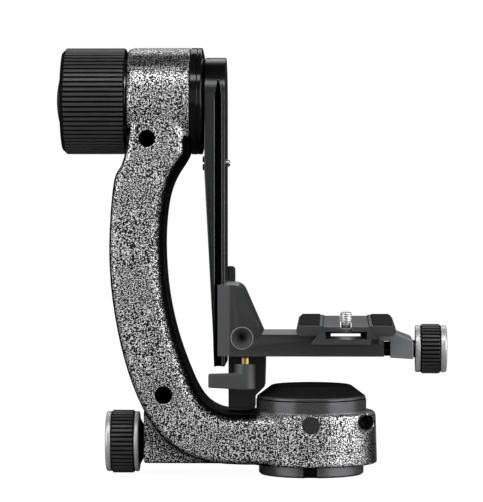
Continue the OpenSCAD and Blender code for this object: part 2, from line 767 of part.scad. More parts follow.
module pan_spindle() color("silver") difference() {
    union() {
        rod_z(spindle_foot_r, 0, ring_h);
        rod_z(flange_r, flange_z, ring_h);
        rod_z(collar_r, ring_h, lower_bearing_z);
        rod_z(shaft_r, lower_bearing_z, nut_z - slide_gap);
        rod_z(spindle_thread_r, lower_bearing_z, nut_z + spindle_nut_h + over);
    }
    rod_z(tripod_bore_r, -over, tripod_bore_depth);
    base_screw_places() rod_z(base_screw_r + screw_gap, 0, base_screw_l + screw_gap);
}
module pan_bearing_lower() color("silver") translate([0, 0, lower_bearing_z]) ball_bearing();
module pan_bearing_upper() color("silver") translate([0, 0, upper_bearing_z]) ball_bearing();
module spindle_nut() color("gray") difference() {
    rod_z(spindle_nut_r, nut_z, nut_z + spindle_nut_h);
    rod_z(spindle_thread_r + screw_gap, nut_z - over, nut_z + spindle_nut_h + over);
    for (a = [0, 90]) rotate(a)
        translate([-spindle_nut_r - over, -nut_slot_w / 2, nut_z + spindle_nut_h / 2])
            cube([2 * (spindle_nut_r + over), nut_slot_w, spindle_nut_h]);
}

// Pan cap and the small parts in the pan housing
cap_outline = [[cap_r, pan_housing_z], [cap_r, pan_housing_z + cap_wall_h],
    [cap_ridge_r, cap_ridge_z], [cap_top_r, pan_housing_z + cap_h],
    [cap_top_r - cap_wall, pan_housing_z + cap_h - cap_dish], [0, pan_housing_z + cap_h - cap_dish]];
cap_hollow = [[0, pan_housing_z - cap_spigot_h - over],
    [cap_spigot_r - cap_wall, pan_housing_z - cap_spigot_h - over],
    [cap_spigot_r - cap_wall, pan_housing_z + cap_wall_h],
    [cap_top_r - cap_wall, pan_housing_z + cap_h - cap_dish - cap_wall],
    [0, pan_housing_z + cap_h - cap_dish - cap_wall]];
module pan_cap() color("black") rotate_extrude() difference() {
    polygon(concat([[0, pan_housing_z - cap_spigot_h], [cap_spigot_r, pan_housing_z - cap_spigot_h],
        [cap_spigot_r, pan_housing_z]], cap_outline));
    polygon(cap_hollow);
}
module front_plug() color("dimgray") translate([0, 0, plug_z])
    rod_y(plug_r, -sqrt(pow(pan_housing_r, 2) - pow(plug_r, 2)) + plug_set,
        -pan_housing_r + plug_depth - slide_gap);
side_screw_y = -sqrt(pow(pan_housing_r, 2) - pow(side_screw_x + side_screw_head_r, 2))
    + side_screw_set;
module side_screw() color("black") translate([side_screw_x, 0, plug_z]) difference() {
    union() {
        rod_y(side_screw_head_r, side_screw_y, side_screw_y + side_screw_head_h - slide_gap);
        rod_y(side_screw_r, side_screw_y, side_screw_y + side_screw_l);
    }
    translate([0, side_screw_y - over, 0]) rotate([-90, 0, 0])
        cylinder(r = side_screw_hex_r, h = over + side_screw_head_h / 2, $fn = 6);
}

// Tilt axis
module tilt_bearing_left() color("silver") tilt_frame()
    translate([-housing_x, 0, 0]) rotate([0, 90, 0]) ball_bearing();
module tilt_bearing_right() color("silver") tilt_frame()
    translate([right_bearing_x, 0, 0]) rotate([0, 90, 0]) ball_bearing();
module friction_ring() color("black") tilt_frame() difference() {
    union() {
        rod_x(housing_r, ring_x, ring_right_x);
        rod_x(spigot_r, spigot_x, ring_x + fit);
    }
    rod_x(shaft_r + 2 * run_gap, spigot_x - over, ring_right_x + over);
    rod_x(web_r, spigot_x - over, spigot_x + run_gap);
}
module thrust_washer() color("silver") tilt_frame() difference() {
    rod_x(thrust_washer_r, washer_x, washer_x + thrust_washer_w);
    rod_x(shaft_r + run_gap, washer_x - over, washer_x + thrust_washer_w + over);
}
module tilt_shaft() color("silver") tilt_frame() difference() {
    union() {
        rod_x(tilt_thread_r, -housing_x - run_gap - tilt_thread_l, -housing_x);
        rod_x(shaft_r, -housing_x - run_gap, arm_flange_x);
        rod_x(arm_spigot_r, arm_flange_x, spigot_end_x);
    }
    rod_x(hub_bolt_r + screw_gap, spigot_end_x - hub_bolt_l, spigot_end_x + over);
}
module arm_flange() color("black") tilt_frame() difference() {
    union() {
        rod_x(housing_r, arm_flange_x, arm_flange_face_x - arm_flange_chamfer);
        cone_x(housing_r, arm_flange_small_r, arm_flange_face_x - arm_flange_chamfer,
            arm_flange_face_x);
        rod_x(arm_boss_r, arm_flange_x, swing_left_x);
    }
    rod_x(arm_spigot_r + fit, arm_flange_x - over, swing_left_x + over);
    arm_screw_places() rod_x(arm_screw_r + screw_gap, swing_left_x - arm_flange_w, swing_left_x + over);
}
module arm_screw_places()
    for (i = [0 : 3]) rotate([45 + i * 90, 0, 0]) translate([0, 0, arm_screw_circle_r]) children();
module arm_screws() color("black") tilt_frame() arm_screw_places() difference() {
    union() {
        rod_x(arm_screw_r, swing_left_x - arm_flange_w + run_gap, swing_right_x - arm_screw_head_h);
        rod_x(arm_screw_head_r, swing_right_x - arm_screw_head_h, swing_right_x - slide_gap);
    }
    translate([swing_right_x - arm_screw_head_h / 2, 0, 0]) rotate([0, 90, 0])
        cylinder(r = arm_screw_r * hex_share, h = arm_screw_head_h, $fn = 6);
}
module hub_bolt() color("gray") tilt_frame() difference() {
    union() {
        rod_x(hub_bolt_r, spigot_end_x - hub_bolt_l + over, spigot_end_x + slide_gap);
        rod_x(hub_head_r, spigot_end_x + slide_gap, spigot_end_x + hub_head_h);
    }
    translate([spigot_end_x + hub_head_h / 2, 0, 0]) rotate([0, 90, 0])
        cylinder(r = hub_bolt_r * hex_share, h = hub_head_h, $fn = 6);
}
module hub_cap() color("black") tilt_frame()
    rod_x(hub_cap_r, swing_right_x - hub_cap_t, swing_right_x);

// Swing arm
module swing_arm() color("#26282b") difference() {
    intersection() {
        translate([swing_left_x, 0, 0]) union() {
            tilt_frame() rod_x(swing_w / 2, 0, swing_t);
            translate([0, -swing_w / 2, swing_foot_z]) cube([swing_t, swing_w, tilt_z - swing_foot_z]);
        }
        slab_y(-swing_w, swing_w) polygon([[swing_right_x, swing_foot_z],
            [swing_right_x, tilt_z + swing_w], [swing_left_x, tilt_z + swing_w],
            [swing_left_x, swing_taper_z], [swing_right_x - swing_foot_t, swing_foot_z]]);
    }
    for (side = [-1, 1])
        slab_y(min(side * (swing_w / 2 - groove_d), side * swing_w),
            max(side * (swing_w / 2 - groove_d), side * swing_w))
            polygon([[groove_x, swing_foot_z - over], [groove_x + groove_w, swing_foot_z - over],
                [groove_x + groove_w, groove_tip_z - groove_tip_l],
                [groove_x + groove_w / 2, groove_tip_z], [groove_x, groove_tip_z - groove_tip_l]]);
    tilt_frame() {
        rod_x(arm_spigot_r + fit, swing_left_x - over, spigot_end_x + slide_gap);
        rod_x(hub_head_r + slide_gap, spigot_end_x, swing_right_x + over);
        rod_x(hub_cap_r + fit, swing_right_x - hub_cap_t, swing_right_x + over);
        arm_screw_places() {
            rod_x(arm_screw_r + screw_gap, swing_left_x - over, swing_right_x + over);
            rod_x(arm_screw_head_r + slide_gap, swing_right_x - arm_screw_head_h - fit,
                swing_right_x + over);
        }
    }
    translate([0, 0, stop_z]) rod_x(stop_bolt_r + screw_gap, swing_left_x - over, swing_right_x + over);
}
module stop_bolt() color("black") translate([0, 0, stop_z]) difference() {
    union() {
        rod_x(stop_head_r, swing_left_x - stop_head_h, swing_left_x);
        rod_x(stop_bolt_r, swing_left_x, swing_right_x + stop_nub_proud - stop_nub_l);
    }
    translate([swing_left_x - stop_head_h - over, -swing_w, -stop_slot_w / 2])
        cube([over + stop_head_h / 2, 2 * swing_w, stop_slot_w]);
}
module stop_nub() color("silver") translate([0, 0, stop_z]) {
    tip = swing_right_x + stop_nub_proud;
    rod_x(stop_bolt_r, tip - stop_nub_l, tip - stop_bolt_r / 4);
    cone_x(stop_bolt_r, stop_bolt_r * 0.75, tip - stop_bolt_r / 4, tip);
}

// Tilt knob
module tilt_knob_grip() color("#1b1c1e") tilt_frame() difference() {
    intersection() {
        ribbed_ring(tilt_knob_r, tilt_ribs, grip_left_x, tilt_grip_w, knob_cap_r + slide_gap, knob_edge);
        cone_x(tilt_knob_r - tilt_grip_chamfer, tilt_knob_r - tilt_grip_chamfer + tilt_grip_w,
            grip_left_x, grip_right_x);
    }
    rod_x(tilt_core_r + fit, grip_left_x + grip_lip_w, grip_right_x + over);
}
module tilt_knob_core() color("dimgray") tilt_frame() difference() {
    rod_x(tilt_core_r, core_left_x, core_right_x);
    rod_x(tilt_thread_r + screw_gap, tilt_bore_x, core_right_x + over);
    rod_x(knob_cap_spigot_r + fit, core_left_x - over, core_left_x + knob_cap_spigot_l + slide_gap);
    difference() {
        rod_x(tilt_core_r - core_wall, core_left_x + core_web, core_right_x - core_wall);
        rod_x(tilt_thread_r + core_wall, core_left_x, core_right_x);
    }
    for (i = [0 : 5]) rotate([i * 60, 0, 0]) translate([0, 0, core_hole_circle_r])
        rod_x(core_hole_r, core_right_x - core_wall - over, core_right_x + over);
}
module tilt_knob_cap() color("#232427") tilt_frame() {
    dome_r = (pow(knob_cap_r, 2) + pow(knob_cap_dome, 2)) / (2 * knob_cap_dome);
    intersection() {
        translate([grip_left_x - knob_cap_dome + dome_r, 0, 0]) sphere(r = dome_r);
        rod_x(knob_cap_r, grip_left_x - knob_cap_dome - over, grip_left_x + grip_lip_w);
    }
    rod_x(knob_cap_spigot_r, grip_left_x + grip_lip_w, core_left_x + knob_cap_spigot_l);
}

// Pan lock
module spool(r, x0, w0, x1, w2, core_r) {
    rod_x(r, x0 + w0 / 4, x0 + w0);
    cone_x(r - w0 / 4, r, x0, x0 + w0 / 4);
    rod_x(core_r, x0 + w0, x1);
    rod_x(r, x1, x1 + w2);
}
module pan_knob_core() color("silver") lock_frame() difference() {
    spool(pan_rim_r, pan_knob_left_x, pan_rim_outer_w, pan_rim_x, pan_rim_inner_w, pan_core_r);
    rod_x(lock_stud_r + fit, pan_grip_x, pan_collar_x + over);
}
module pan_knob_grip() color("#1b1c1e") lock_frame()
    ribbed_ring(pan_knob_r, pan_ribs, pan_grip_x + fit, pan_grip_w - 2 * fit, pan_core_r + fit,
        knob_edge);
module pan_knob_collar() color("black") lock_frame() difference() {
    cone_x(pan_collar_r, pan_collar_small_r, pan_collar_x, pan_collar_end_x);
    rod_x(lock_stud_r + fit, pan_collar_x - over, pan_collar_end_x + over);
}
module pan_lock_stud() color("gray") lock_frame()
    rod_x(lock_stud_r, pan_grip_x + slide_gap, shoe_x - 2 * shoe_gap);
module pan_lock_shoe() color("goldenrod") lock_frame()
    rod_x(lock_stud_r - fit, shoe_x, shoe_x + shoe_l);

// Carriage
function flank_x(z, side) = plate_x + side * (dovetail_w / 2 + flank_gap
    - (dovetail_w - waist_w) / 2 * max(0, z - plate_z - dovetail_flat) / (dovetail_h - dovetail_flat));
module carriage_side() difference() {
    polygon(concat([[cheek_x, carriage_z], [platform_x, carriage_z], [platform_x, platform_z],
            [gusset_x, platform_z]],
        arc([gusset_arc_x, gusset_arc_z], gusset_round, gusset_lean, 90),
        [[cheek_x, carriage_top_z]]));
    polygon([[flank_x(plate_z, -1), channel_z], [platform_x + over, channel_z],
        [platform_x + over, platform_z + over], [flank_x(platform_z, -1), platform_z + over],
        [flank_x(platform_z, -1), platform_z], [flank_x(plate_z + dovetail_flat, -1),
            plate_z + dovetail_flat]]);
}
module cheek_plan(outer_y, inner_y)
    polygon([[cheek_x, outer_y - cheek_draft], [cheek_x + cheek_slant, outer_y],
        [platform_x, outer_y], [platform_x, inner_y], [seat_x, inner_y], [seat_x, cheek_y],
        [lip_x, cheek_y], [lip_x, lip_y], [cheek_x, lip_y]]);
module carriage() color("#3a3d41") difference() {
    intersection() {
        slab_y(-carriage_near, carriage_far) carriage_side();
        translate([0, 0, carriage_z]) linear_extrude(carriage_top_z - carriage_z)
            mirror([0, 1, 0]) cheek_plan(carriage_near, -carriage_far);
    }
    translate([bar_x, 0, bar_z]) rod_y(bar_r + screw_gap, -carriage_near - over, carriage_far + over);
    translate([stud_x, -lever_y, 0]) rod_z(stud_r + screw_gap, carriage_z - over, bar_z);
    clamp_frame() rod_x(clamp_spindle_r + screw_gap, spindle_tip_x - jaw_open, platform_x + over);
    guide_places() rod_x(guide_pin_r + screw_gap, guide_tip_x - over, platform_x + over);
    grip_screw_places() rod_z(grip_screw_r + screw_gap, carriage_z - over, grip_screw_tip_z + slide_gap);
}
module guide_places() for (side = [-1, 1]) translate([0, side * guide_pin_y, spindle_z]) children();
module grip_screw_places()
    for (side = [-1, 1]) translate([grip_screw_x, side * grip_screw_y, 0]) children();
// The block's lower corner is cut back so that it clears the pan cap
module grip_block() color("#202224") difference() {
    slab_y(-grip_d / 2, grip_d / 2) difference() {
        polygon([[grip_x, carriage_z], [grip_x, grip_foot_z], [grip_x + grip_w - grip_taper, grip_foot_z],
            [grip_x + grip_w, carriage_z]]);
        polygon([[grip_corner_x, grip_foot_z - over], [grip_corner_x, grip_corner_z],
            [grip_corner_x + grip_slope_z - grip_corner_z, grip_slope_z],
            [grip_x + grip_w + over, grip_slope_z], [grip_x + grip_w + over, grip_foot_z - over]]);
    }
    grip_screw_places() {
        rod_z(grip_screw_r + screw_gap, grip_foot_z - over, carriage_z + over);
        rod_z(grip_screw_head_r + slide_gap, grip_foot_z - over, grip_screw_head_z);
    }
}
module grip_screws() color("gray") grip_screw_places() {
    rod_z(grip_screw_r, grip_screw_head_z - slide_gap, grip_screw_tip_z);
    rod_z(grip_screw_head_r, grip_screw_head_z - slide_gap - grip_screw_head_r,
        grip_screw_head_z - slide_gap);
}
module far_jaw() color("#202224") difference() {
    intersection() {
        slab_y(lip_y - over, far_jaw_y + far_jaw_t) polygon(concat([[cheek_x, far_jaw_foot_z],
                [far_jaw_right_x, far_jaw_foot_z], [far_jaw_right_x, platform_z + far_jaw_inset],
                [tab_x, carriage_top_z - tab_round]],
            arc([tab_x - tab_round, carriage_top_z + tab_h - tab_round], tab_round, 0, 90, 4),
            [[cheek_x, carriage_top_z + tab_h]]));
        translate([0, 0, carriage_z]) linear_extrude(carriage_top_z - carriage_z + tab_h)
            cheek_plan(far_jaw_y + far_jaw_t, far_jaw_y);
    }
    translate([bar_x, 0, bar_z]) {
        rod_y(draw_screw_r + screw_gap, far_jaw_y - over, far_jaw_y + far_jaw_t + over);
        rod_y(draw_screw_head_r + slide_gap, far_jaw_y + far_jaw_t - draw_screw_head_h,
            far_jaw_y + far_jaw_t + over);
    }
}
module draw_bar() color("#2c2e31") difference() {
    translate([bar_x, 0, bar_z]) difference() {
        rod_y(bar_r, -carriage_near, far_jaw_y);
        rod_y(draw_screw_r + screw_gap, far_jaw_y - draw_screw_l, far_jaw_y + over);
        translate([0, -carriage_near - fit, 0]) rotate([-90, 0, 0])
            cylinder(r1 = bar_r - dish_rim, r2 = dish_r, h = dish_depth);
    }
    translate([stud_x, -lever_y, 0]) rod_z(notch_r, carriage_z, stud_tip_z + stud_room);
}
module draw_screw() color("gray") translate([bar_x, 0, bar_z]) difference() {
    head_y = far_jaw_y + far_jaw_t - draw_screw_head_h;
    union() {
        rod_y(draw_screw_head_r, head_y, far_jaw_y + far_jaw_t - slide_gap);
        rod_y(draw_screw_r, far_jaw_y - draw_screw_l + over, head_y);
    }
    translate([0, head_y + draw_screw_head_h / 2, 0]) rotate([-90, 0, 0])
        cylinder(r = draw_screw_r * hex_share, h = draw_screw_head_h, $fn = 6);
}

// Height lever
module height_lever() color("#2c2e31") translate([stud_x, -lever_y, 0]) difference() {
    union() {
        rod_z(lever_hub_r, lever_z, lever_z + lever_hub_h);
        intersection() {
            translate([0, 0, lever_z]) linear_extrude(lever_h) polygon([[0, -lever_hub_r],
                [-lever_l, -lever_front], [-lever_l, -lever_back], [-lever_crank, -lever_back],
                [-lever_heel_x, lever_heel_y], [0, 0]]);
            slab_y(-lever_front, lever_hub_r) polygon([[0, lever_z], [-lever_l, lever_z + lever_rise],
                [-lever_l, lever_z + lever_rise + lever_tip_h], [0, lever_z + lever_h]]);
        }
    }
    rod_z(stud_r + fit, stud_foot_z - slide_gap, lever_z + lever_hub_h + over);
}
module lever_stud() color("goldenrod") translate([stud_x, -lever_y, 0]) {
    rod_z(stud_r, stud_foot_z, stud_tip_z - stud_r / 2);
    translate([0, 0, stud_tip_z - stud_r / 2]) cylinder(r1 = stud_r, r2 = stud_r / 2, h = stud_r / 2);
}

// Plate clamp
module clamp_jaw() color("#35383c") difference() {
    slab_y(-clamp_jaw_w / 2, clamp_jaw_w / 2) polygon([
        [jaw_x, carriage_z - jaw_foot_drop], [jaw_end_x, carriage_z - 2 * jaw_foot_drop],
        [jaw_end_x, platform_z - jaw_slope - over], [jaw_end_x - over, platform_z - jaw_slope],
        [jaw_x + jaw_slope, platform_z], [flank_x(platform_z, 1), platform_z],
        [flank_x(plate_z + dovetail_flat, 1), plate_z + dovetail_flat],
        [flank_x(plate_z, 1), channel_z + slide_gap], [jaw_x, channel_z + slide_gap]]);
    guide_places() rod_x(guide_pin_r + fit, jaw_x - over, guide_end_x + slide_gap);
    clamp_frame() rod_x(clamp_spindle_r + screw_gap, jaw_x - over, jaw_end_x + over);
}
module guide_pins() color("gray") guide_places() rod_x(guide_pin_r, guide_tip_x, guide_end_x);
module clamp_knob_core() color("silver") clamp_frame() difference() {
    union() {
        rod_x(clamp_rim_r, clamp_knob_x, clamp_grip_x);
        rod_x(clamp_core_r, clamp_grip_x, clamp_rim_x);
        rod_x(clamp_rim_r, clamp_rim_x, clamp_end_x);
        cone_x(clamp_rim_r, clamp_core_r, clamp_end_x, clamp_end_x + clamp_end_dome);
    }
    rod_x(clamp_spindle_r + fit, clamp_knob_x - over, clamp_rim_x);
}
module clamp_knob_grip() color("#1b1c1e") clamp_frame()
    ribbed_ring(clamp_knob_r, clamp_ribs, clamp_grip_x + fit, clamp_grip_w - 2 * fit,
        clamp_core_r + fit, knob_edge);
module clamp_spindle() color("gray") clamp_frame() {
    rod_x(clamp_spindle_r, spindle_tip_x, clamp_rim_x - slide_gap);
    difference() {
        rod_x(clamp_collar_r, jaw_end_x + slide_gap, clamp_knob_x - slide_gap);
        rod_x(clamp_spindle_r / 2, jaw_end_x, clamp_knob_x);
    }
}

// Quick-release plate
module plate_side() {
    half = plate_w / 2;
    translate([plate_x, 0]) difference() {
        polygon([[-dovetail_w / 2, plate_z], [dovetail_w / 2, plate_z],
            [dovetail_w / 2, plate_z + dovetail_flat], [waist_w / 2, waist_z],
            [half - flange_edge, waist_z], [half, waist_z + flange_edge],
            [half, plate_top_z - flange_edge], [half - flange_edge, plate_top_z],
            [centre_w / 2, plate_top_z], [centre_w / 2 - centre_sink, plate_top_z - centre_sink],
            [centre_sink - centre_w / 2, plate_top_z - centre_sink], [-centre_w / 2, plate_top_z],
            [flange_edge - half, plate_top_z], [-half, plate_top_z - flange_edge],
            [-half, waist_z + flange_edge], [flange_edge - half, waist_z],
            [-waist_w / 2, waist_z], [-dovetail_w / 2, plate_z + dovetail_flat]]);
        translate([-slot_w / 2, slot_z]) square([slot_w, slot_h]);
        translate([-screw_slot_w / 2, slot_z]) square([screw_slot_w, plate_top_z]);
    }
}
module quick_plate() color("#2b2d30") difference() {
    slab_y(-plate_l / 2, plate_l / 2) plate_side();
    translate([plate_x - access_w / 2, access_end - plate_l / 2, plate_z - over])
        cube([access_w, plate_l - 2 * access_end, slot_z - plate_z + 2 * over]);
    pad_places(screw_gap, over);
    for (side = [0, 1]) mirror([0, side, 0])
        translate([end_notch_x, -plate_l / 2 - over, plate_z - over])
            cube([end_notch_w, end_notch_l + over, slot_z - plate_z + over]);
}
module pad_places(gap, extra) {
    w = pad_w + 2 * gap;
    l = plate_l - 2 * pad_end + 2 * gap;
    for (side = [-1, 1])
        translate([plate_x + side * (plate_w / 2 - pad_inset - pad_w / 2) - w / 2, -l / 2,
            plate_top_z - pad_depth]) cube([w, l, pad_depth + extra]);
}
module plate_pads() color("#1a1b1c") pad_places(0, pad_proud);
module slot_washer() color("white") translate([plate_x, -camera_screw_y, 0]) difference() {
    rod_z(washer_r, slot_top_z - slide_gap - washer_t, slot_top_z - slide_gap);
    rod_z(camera_screw_r + screw_gap, slot_z, slot_top_z + over);
}
module camera_screw() color("silver") translate([plate_x, -camera_screw_y, 0]) difference() {
    union() {
        rod_z(camera_head_r, camera_head_z, camera_head_z + camera_head_h);
        rod_z(camera_shank_r, camera_head_z, plate_top_z + over);
        rod_z(camera_screw_r, plate_top_z, plate_top_z + camera_screw_proud - screw_tip);
        translate([0, 0, plate_top_z + camera_screw_proud - screw_tip])
            cylinder(r1 = camera_screw_r, r2 = camera_screw_r - screw_tip, h = screw_tip);
    }
    translate([-camera_head_r - over, -coin_slot_w / 2, camera_head_z - over])
        cube([2 * (camera_head_r + over), coin_slot_w, coin_slot_d + over]);
}

base_ring();
pan_spindle();
base_screws();
pan_bearing_lower();
pan_bearing_upper();
spindle_nut();
frame_casting();
pan_cap();
front_plug();
side_screw();
tilt_bearing_left();
tilt_bearing_right();
friction_ring();
thrust_washer();
tilt_shaft();
arm_flange();
swing_arm();
hub_bolt();
hub_cap();
arm_screws();
stop_bolt();
stop_nub();
tilt_knob_core();
tilt_knob_grip();
tilt_knob_cap();
pan_knob_core();
pan_knob_grip();
pan_knob_collar();
pan_lock_stud();
pan_lock_shoe();
carriage();
grip_block();
grip_screws();
far_jaw();
draw_bar();
draw_screw();
height_lever();
lever_stud();
clamp_jaw();
guide_pins();
clamp_knob_core();
clamp_knob_grip();
clamp_spindle();
quick_plate();
plate_pads();
slot_washer();
camera_screw();
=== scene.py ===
import json
import math

import bpy
from bpy.props import FloatProperty, FloatVectorProperty, IntProperty, PointerProperty
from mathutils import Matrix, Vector


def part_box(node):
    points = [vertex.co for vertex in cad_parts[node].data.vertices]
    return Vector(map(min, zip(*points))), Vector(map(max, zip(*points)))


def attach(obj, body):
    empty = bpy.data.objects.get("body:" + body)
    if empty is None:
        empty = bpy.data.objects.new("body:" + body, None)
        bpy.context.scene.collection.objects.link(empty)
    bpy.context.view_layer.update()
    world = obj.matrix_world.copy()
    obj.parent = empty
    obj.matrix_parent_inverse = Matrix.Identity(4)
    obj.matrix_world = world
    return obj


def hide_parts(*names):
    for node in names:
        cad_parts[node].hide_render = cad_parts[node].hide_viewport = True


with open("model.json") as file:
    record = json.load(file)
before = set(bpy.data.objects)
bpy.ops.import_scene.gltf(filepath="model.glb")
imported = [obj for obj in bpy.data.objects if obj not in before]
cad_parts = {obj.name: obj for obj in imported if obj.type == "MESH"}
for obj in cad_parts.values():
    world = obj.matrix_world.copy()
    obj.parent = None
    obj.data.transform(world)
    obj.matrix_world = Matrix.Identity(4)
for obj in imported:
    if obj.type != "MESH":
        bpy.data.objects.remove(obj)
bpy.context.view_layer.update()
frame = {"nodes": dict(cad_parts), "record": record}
RECORD = frame["record"]
BODY = {n: b for b, ns in RECORD["behaviour"]["bodies"].items() for n in ns}
SLOT = {s["node"]: s["material_slot"] for s in RECORD["subparts"]}

GRIPS = ("tilt_knob_grip", "pan_knob_grip", "clamp_knob_grip")
# Rods that take the black screw finish, though their slot's finish is bright
DARK_RODS = ("guide_pins", "clamp_spindle")
HOLE_RADIUS = {"accessory_socket_upper": 0.0048, "accessory_socket_lower": 0.00505}
THREAD_PITCH = 0.00127

# The frame's faces that are turned after it is cast: the tilt housing's ends, the pan housing's
# seats and the rims of the front holes
FLANGE_GAP = 0.0039
RIGHT_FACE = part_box("arm_flange")[0].x - FLANGE_GAP
LEFT_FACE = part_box("tilt_bearing_left")[0].x
RIGHT_DEPTH, LEFT_DEPTH, HOLE_LIP = 0.002, 0.0006, 0.001
TILT_FOOT, TILT_RIGHT = 0.17, -0.05
PAN_RADIUS, PAN_LEFT, PAN_SEATS = 0.0405, -0.02, (0.0085, 0.0345)

# Where the arm sweeps into the tilt housing
SWEEP_FOOT, SWEEP_TOP, SWEEP_LEFT, SWEEP_GAP = 0.160, 0.206, -0.1, 0.004
# How many times more often the sweep is relaxed than the rest of the casting
SWEEP_SMOOTHING = 6

# Where the painted shade on the frame's paint comes and goes: each pair is a height or a place
# across at which it starts to turn and one at which it has turned
INNER_TOP, INNER_RIGHT = (0.186, 0.2), (-0.034, -0.022)
JOIN_FOOT, JOIN_LEFT = (0.155, 0.175), (-0.1, -0.078)
SHOULDER_FOOT, SHOULDER_TOP = (0.2, 0.212), (0.2352, 0.2372)
PAN_END_TOP, PAN_END_LEFT = (0.034, 0.036), (0.01, 0.02)
BLOCK_TOP, BLOCK_RIGHT, BLOCK_SIDE = (0.046, 0.052), (-0.045, -0.038), (0.0222, 0.0228)
HOLE_RIM = 0.0001
# What a facing halfway between two directions keeps of each
DIAGONAL = 0.707

# How softly the hammertone's silver ends, as a share of its noise, and how high it stands
WORM_EDGE, WORM_HEIGHT = 0.025, 0.00004
# Widths of each other finish's grain and clouds, and how high the grain stands
BLAST_GRAIN, BLAST_CLOUD, BLAST_HEIGHT = 0.00022, 0.012, 0.000012
LATHE_RING, LATHE_SMEAR, LATHE_HEIGHT = 0.0004, 0.006, 0.000008
POLISH_LINE, POLISH_SMEAR, POLISH_HEIGHT = 0.00035, 0.009, 0.000004
RUBBER_GRAIN, RUBBER_DUST, RUBBER_HEIGHT = 0.00028, 0.007, 0.00003
NYLON_GRAIN = 0.0006

# Colours that stay as they are
# The black that painted shade fades into
PAINTED_SHADE_BLACK = (0.0015, 0.0015, 0.0015)
SCREW_BLACK = (0.02, 0.02, 0.022)
DULL_STEEL, STEEL, ALUMINIUM = (0.3, 0.3, 0.31), (0.60, 0.60, 0.61), (0.66, 0.66, 0.67)
NYLON_DARK, NYLON_LIGHT = (0.3, 0.3, 0.29), (0.36, 0.36, 0.35)
# Bright lines for painted highlights and for the draw bar's bright ring; painted highlights on the
# thread's crests
BRIGHT_LINE, CREST_HIGHLIGHT = (0.5, 0.5, 0.5), (0.9, 0.9, 0.9)

# Widths of the rounded edges, from the slot washer's to the knob cores'
HAIR_EDGE, RIB_EDGE, FINE_EDGE, SLIM_EDGE = 0.0001, 0.00012, 0.0002, 0.0003
SMALL_EDGE, FULL_EDGE, BROAD_EDGE = 0.0004, 0.0005, 0.0006
# The size of the cells of the lever's skin, and how often they are relaxed
LEVER_CELL, LEVER_SMOOTHING = 0.00032, 10
# How many times longer than its node the stop nub is
NUB_STRETCH = 1.19

# Points nearer than this are merged
MERGE = 2e-6
# Angles in degrees: faces that turn by less than FLAT_ANGLE become one, edges that turn by more
# than a corner are rounded, and a surface is shaded smooth up to its smooth angle
FLAT_ANGLE, CORNER, RIB_CORNER = 0.4, 30, 38
SMOOTH_ANGLE, CAST_ANGLE, CAP_ANGLE, CARRIAGE_ANGLE = 32, 50, 24, 14

# The pan cap's outline from its foot to its dished top, as radius and height in mm
CAP_PROFILE = [(31.1, 35.86), (31.1, 42.3), (30.9, 42.55), (30.2, 42.6), (30.2, 43.0),
               (30.7, 43.05), (30.7, 44.0), (30.5, 44.25), (22.9, 49.95), (22.5, 50.18),
               (22.0, 50.3), (20.9, 50.3), (20.6, 49.8)]

# Each softbox's place, its width and height, and its share of the lamp power
SOFTBOXES = {
    "softbox_high": ((-0.035, -0.9, 1.33), (1.6, 0.3), 0.9),
    "softbox_camera": ((0.0, -3.2, 0.6), (2.6, 2.0), 0.5),
    "softbox_left": ((-1.43, -0.98, 0.25), (1.5, 1.4), 2.0),
    "softbox_right": ((1.56, -0.58, 0.25), (2.2, 1.4), 3.8),
    "softbox_behind": ((-0.035, 1.1, 1.2), (1.8, 0.7), 0.6),
}
SOFTBOX_TARGET = (-0.035, 0, 0.12)
CLIP_START, CLIP_END = 0.1, 20
FLOOR_SIZE, FLOOR_GLOW, FLOOR_GLOW_SHARE = 6, 1.13, 0.85
FLOOR_COLOUR, MIRRORED_FLOOR, MIRRORED_ROOM = (0.8, 0.8, 0.8), (0.02, 0.02, 0.02), 0.02

bl_info = {
    "name": "Gimbal tripod head",
    "version": (1, 0, 0),
    "blender": (4, 5, 0),
    "location": "3D View > Sidebar > Gimbal head",
    "description": "Dresses the packed gimbal head in its finishes and sets it on a pale stage",
    "category": "Object",
}


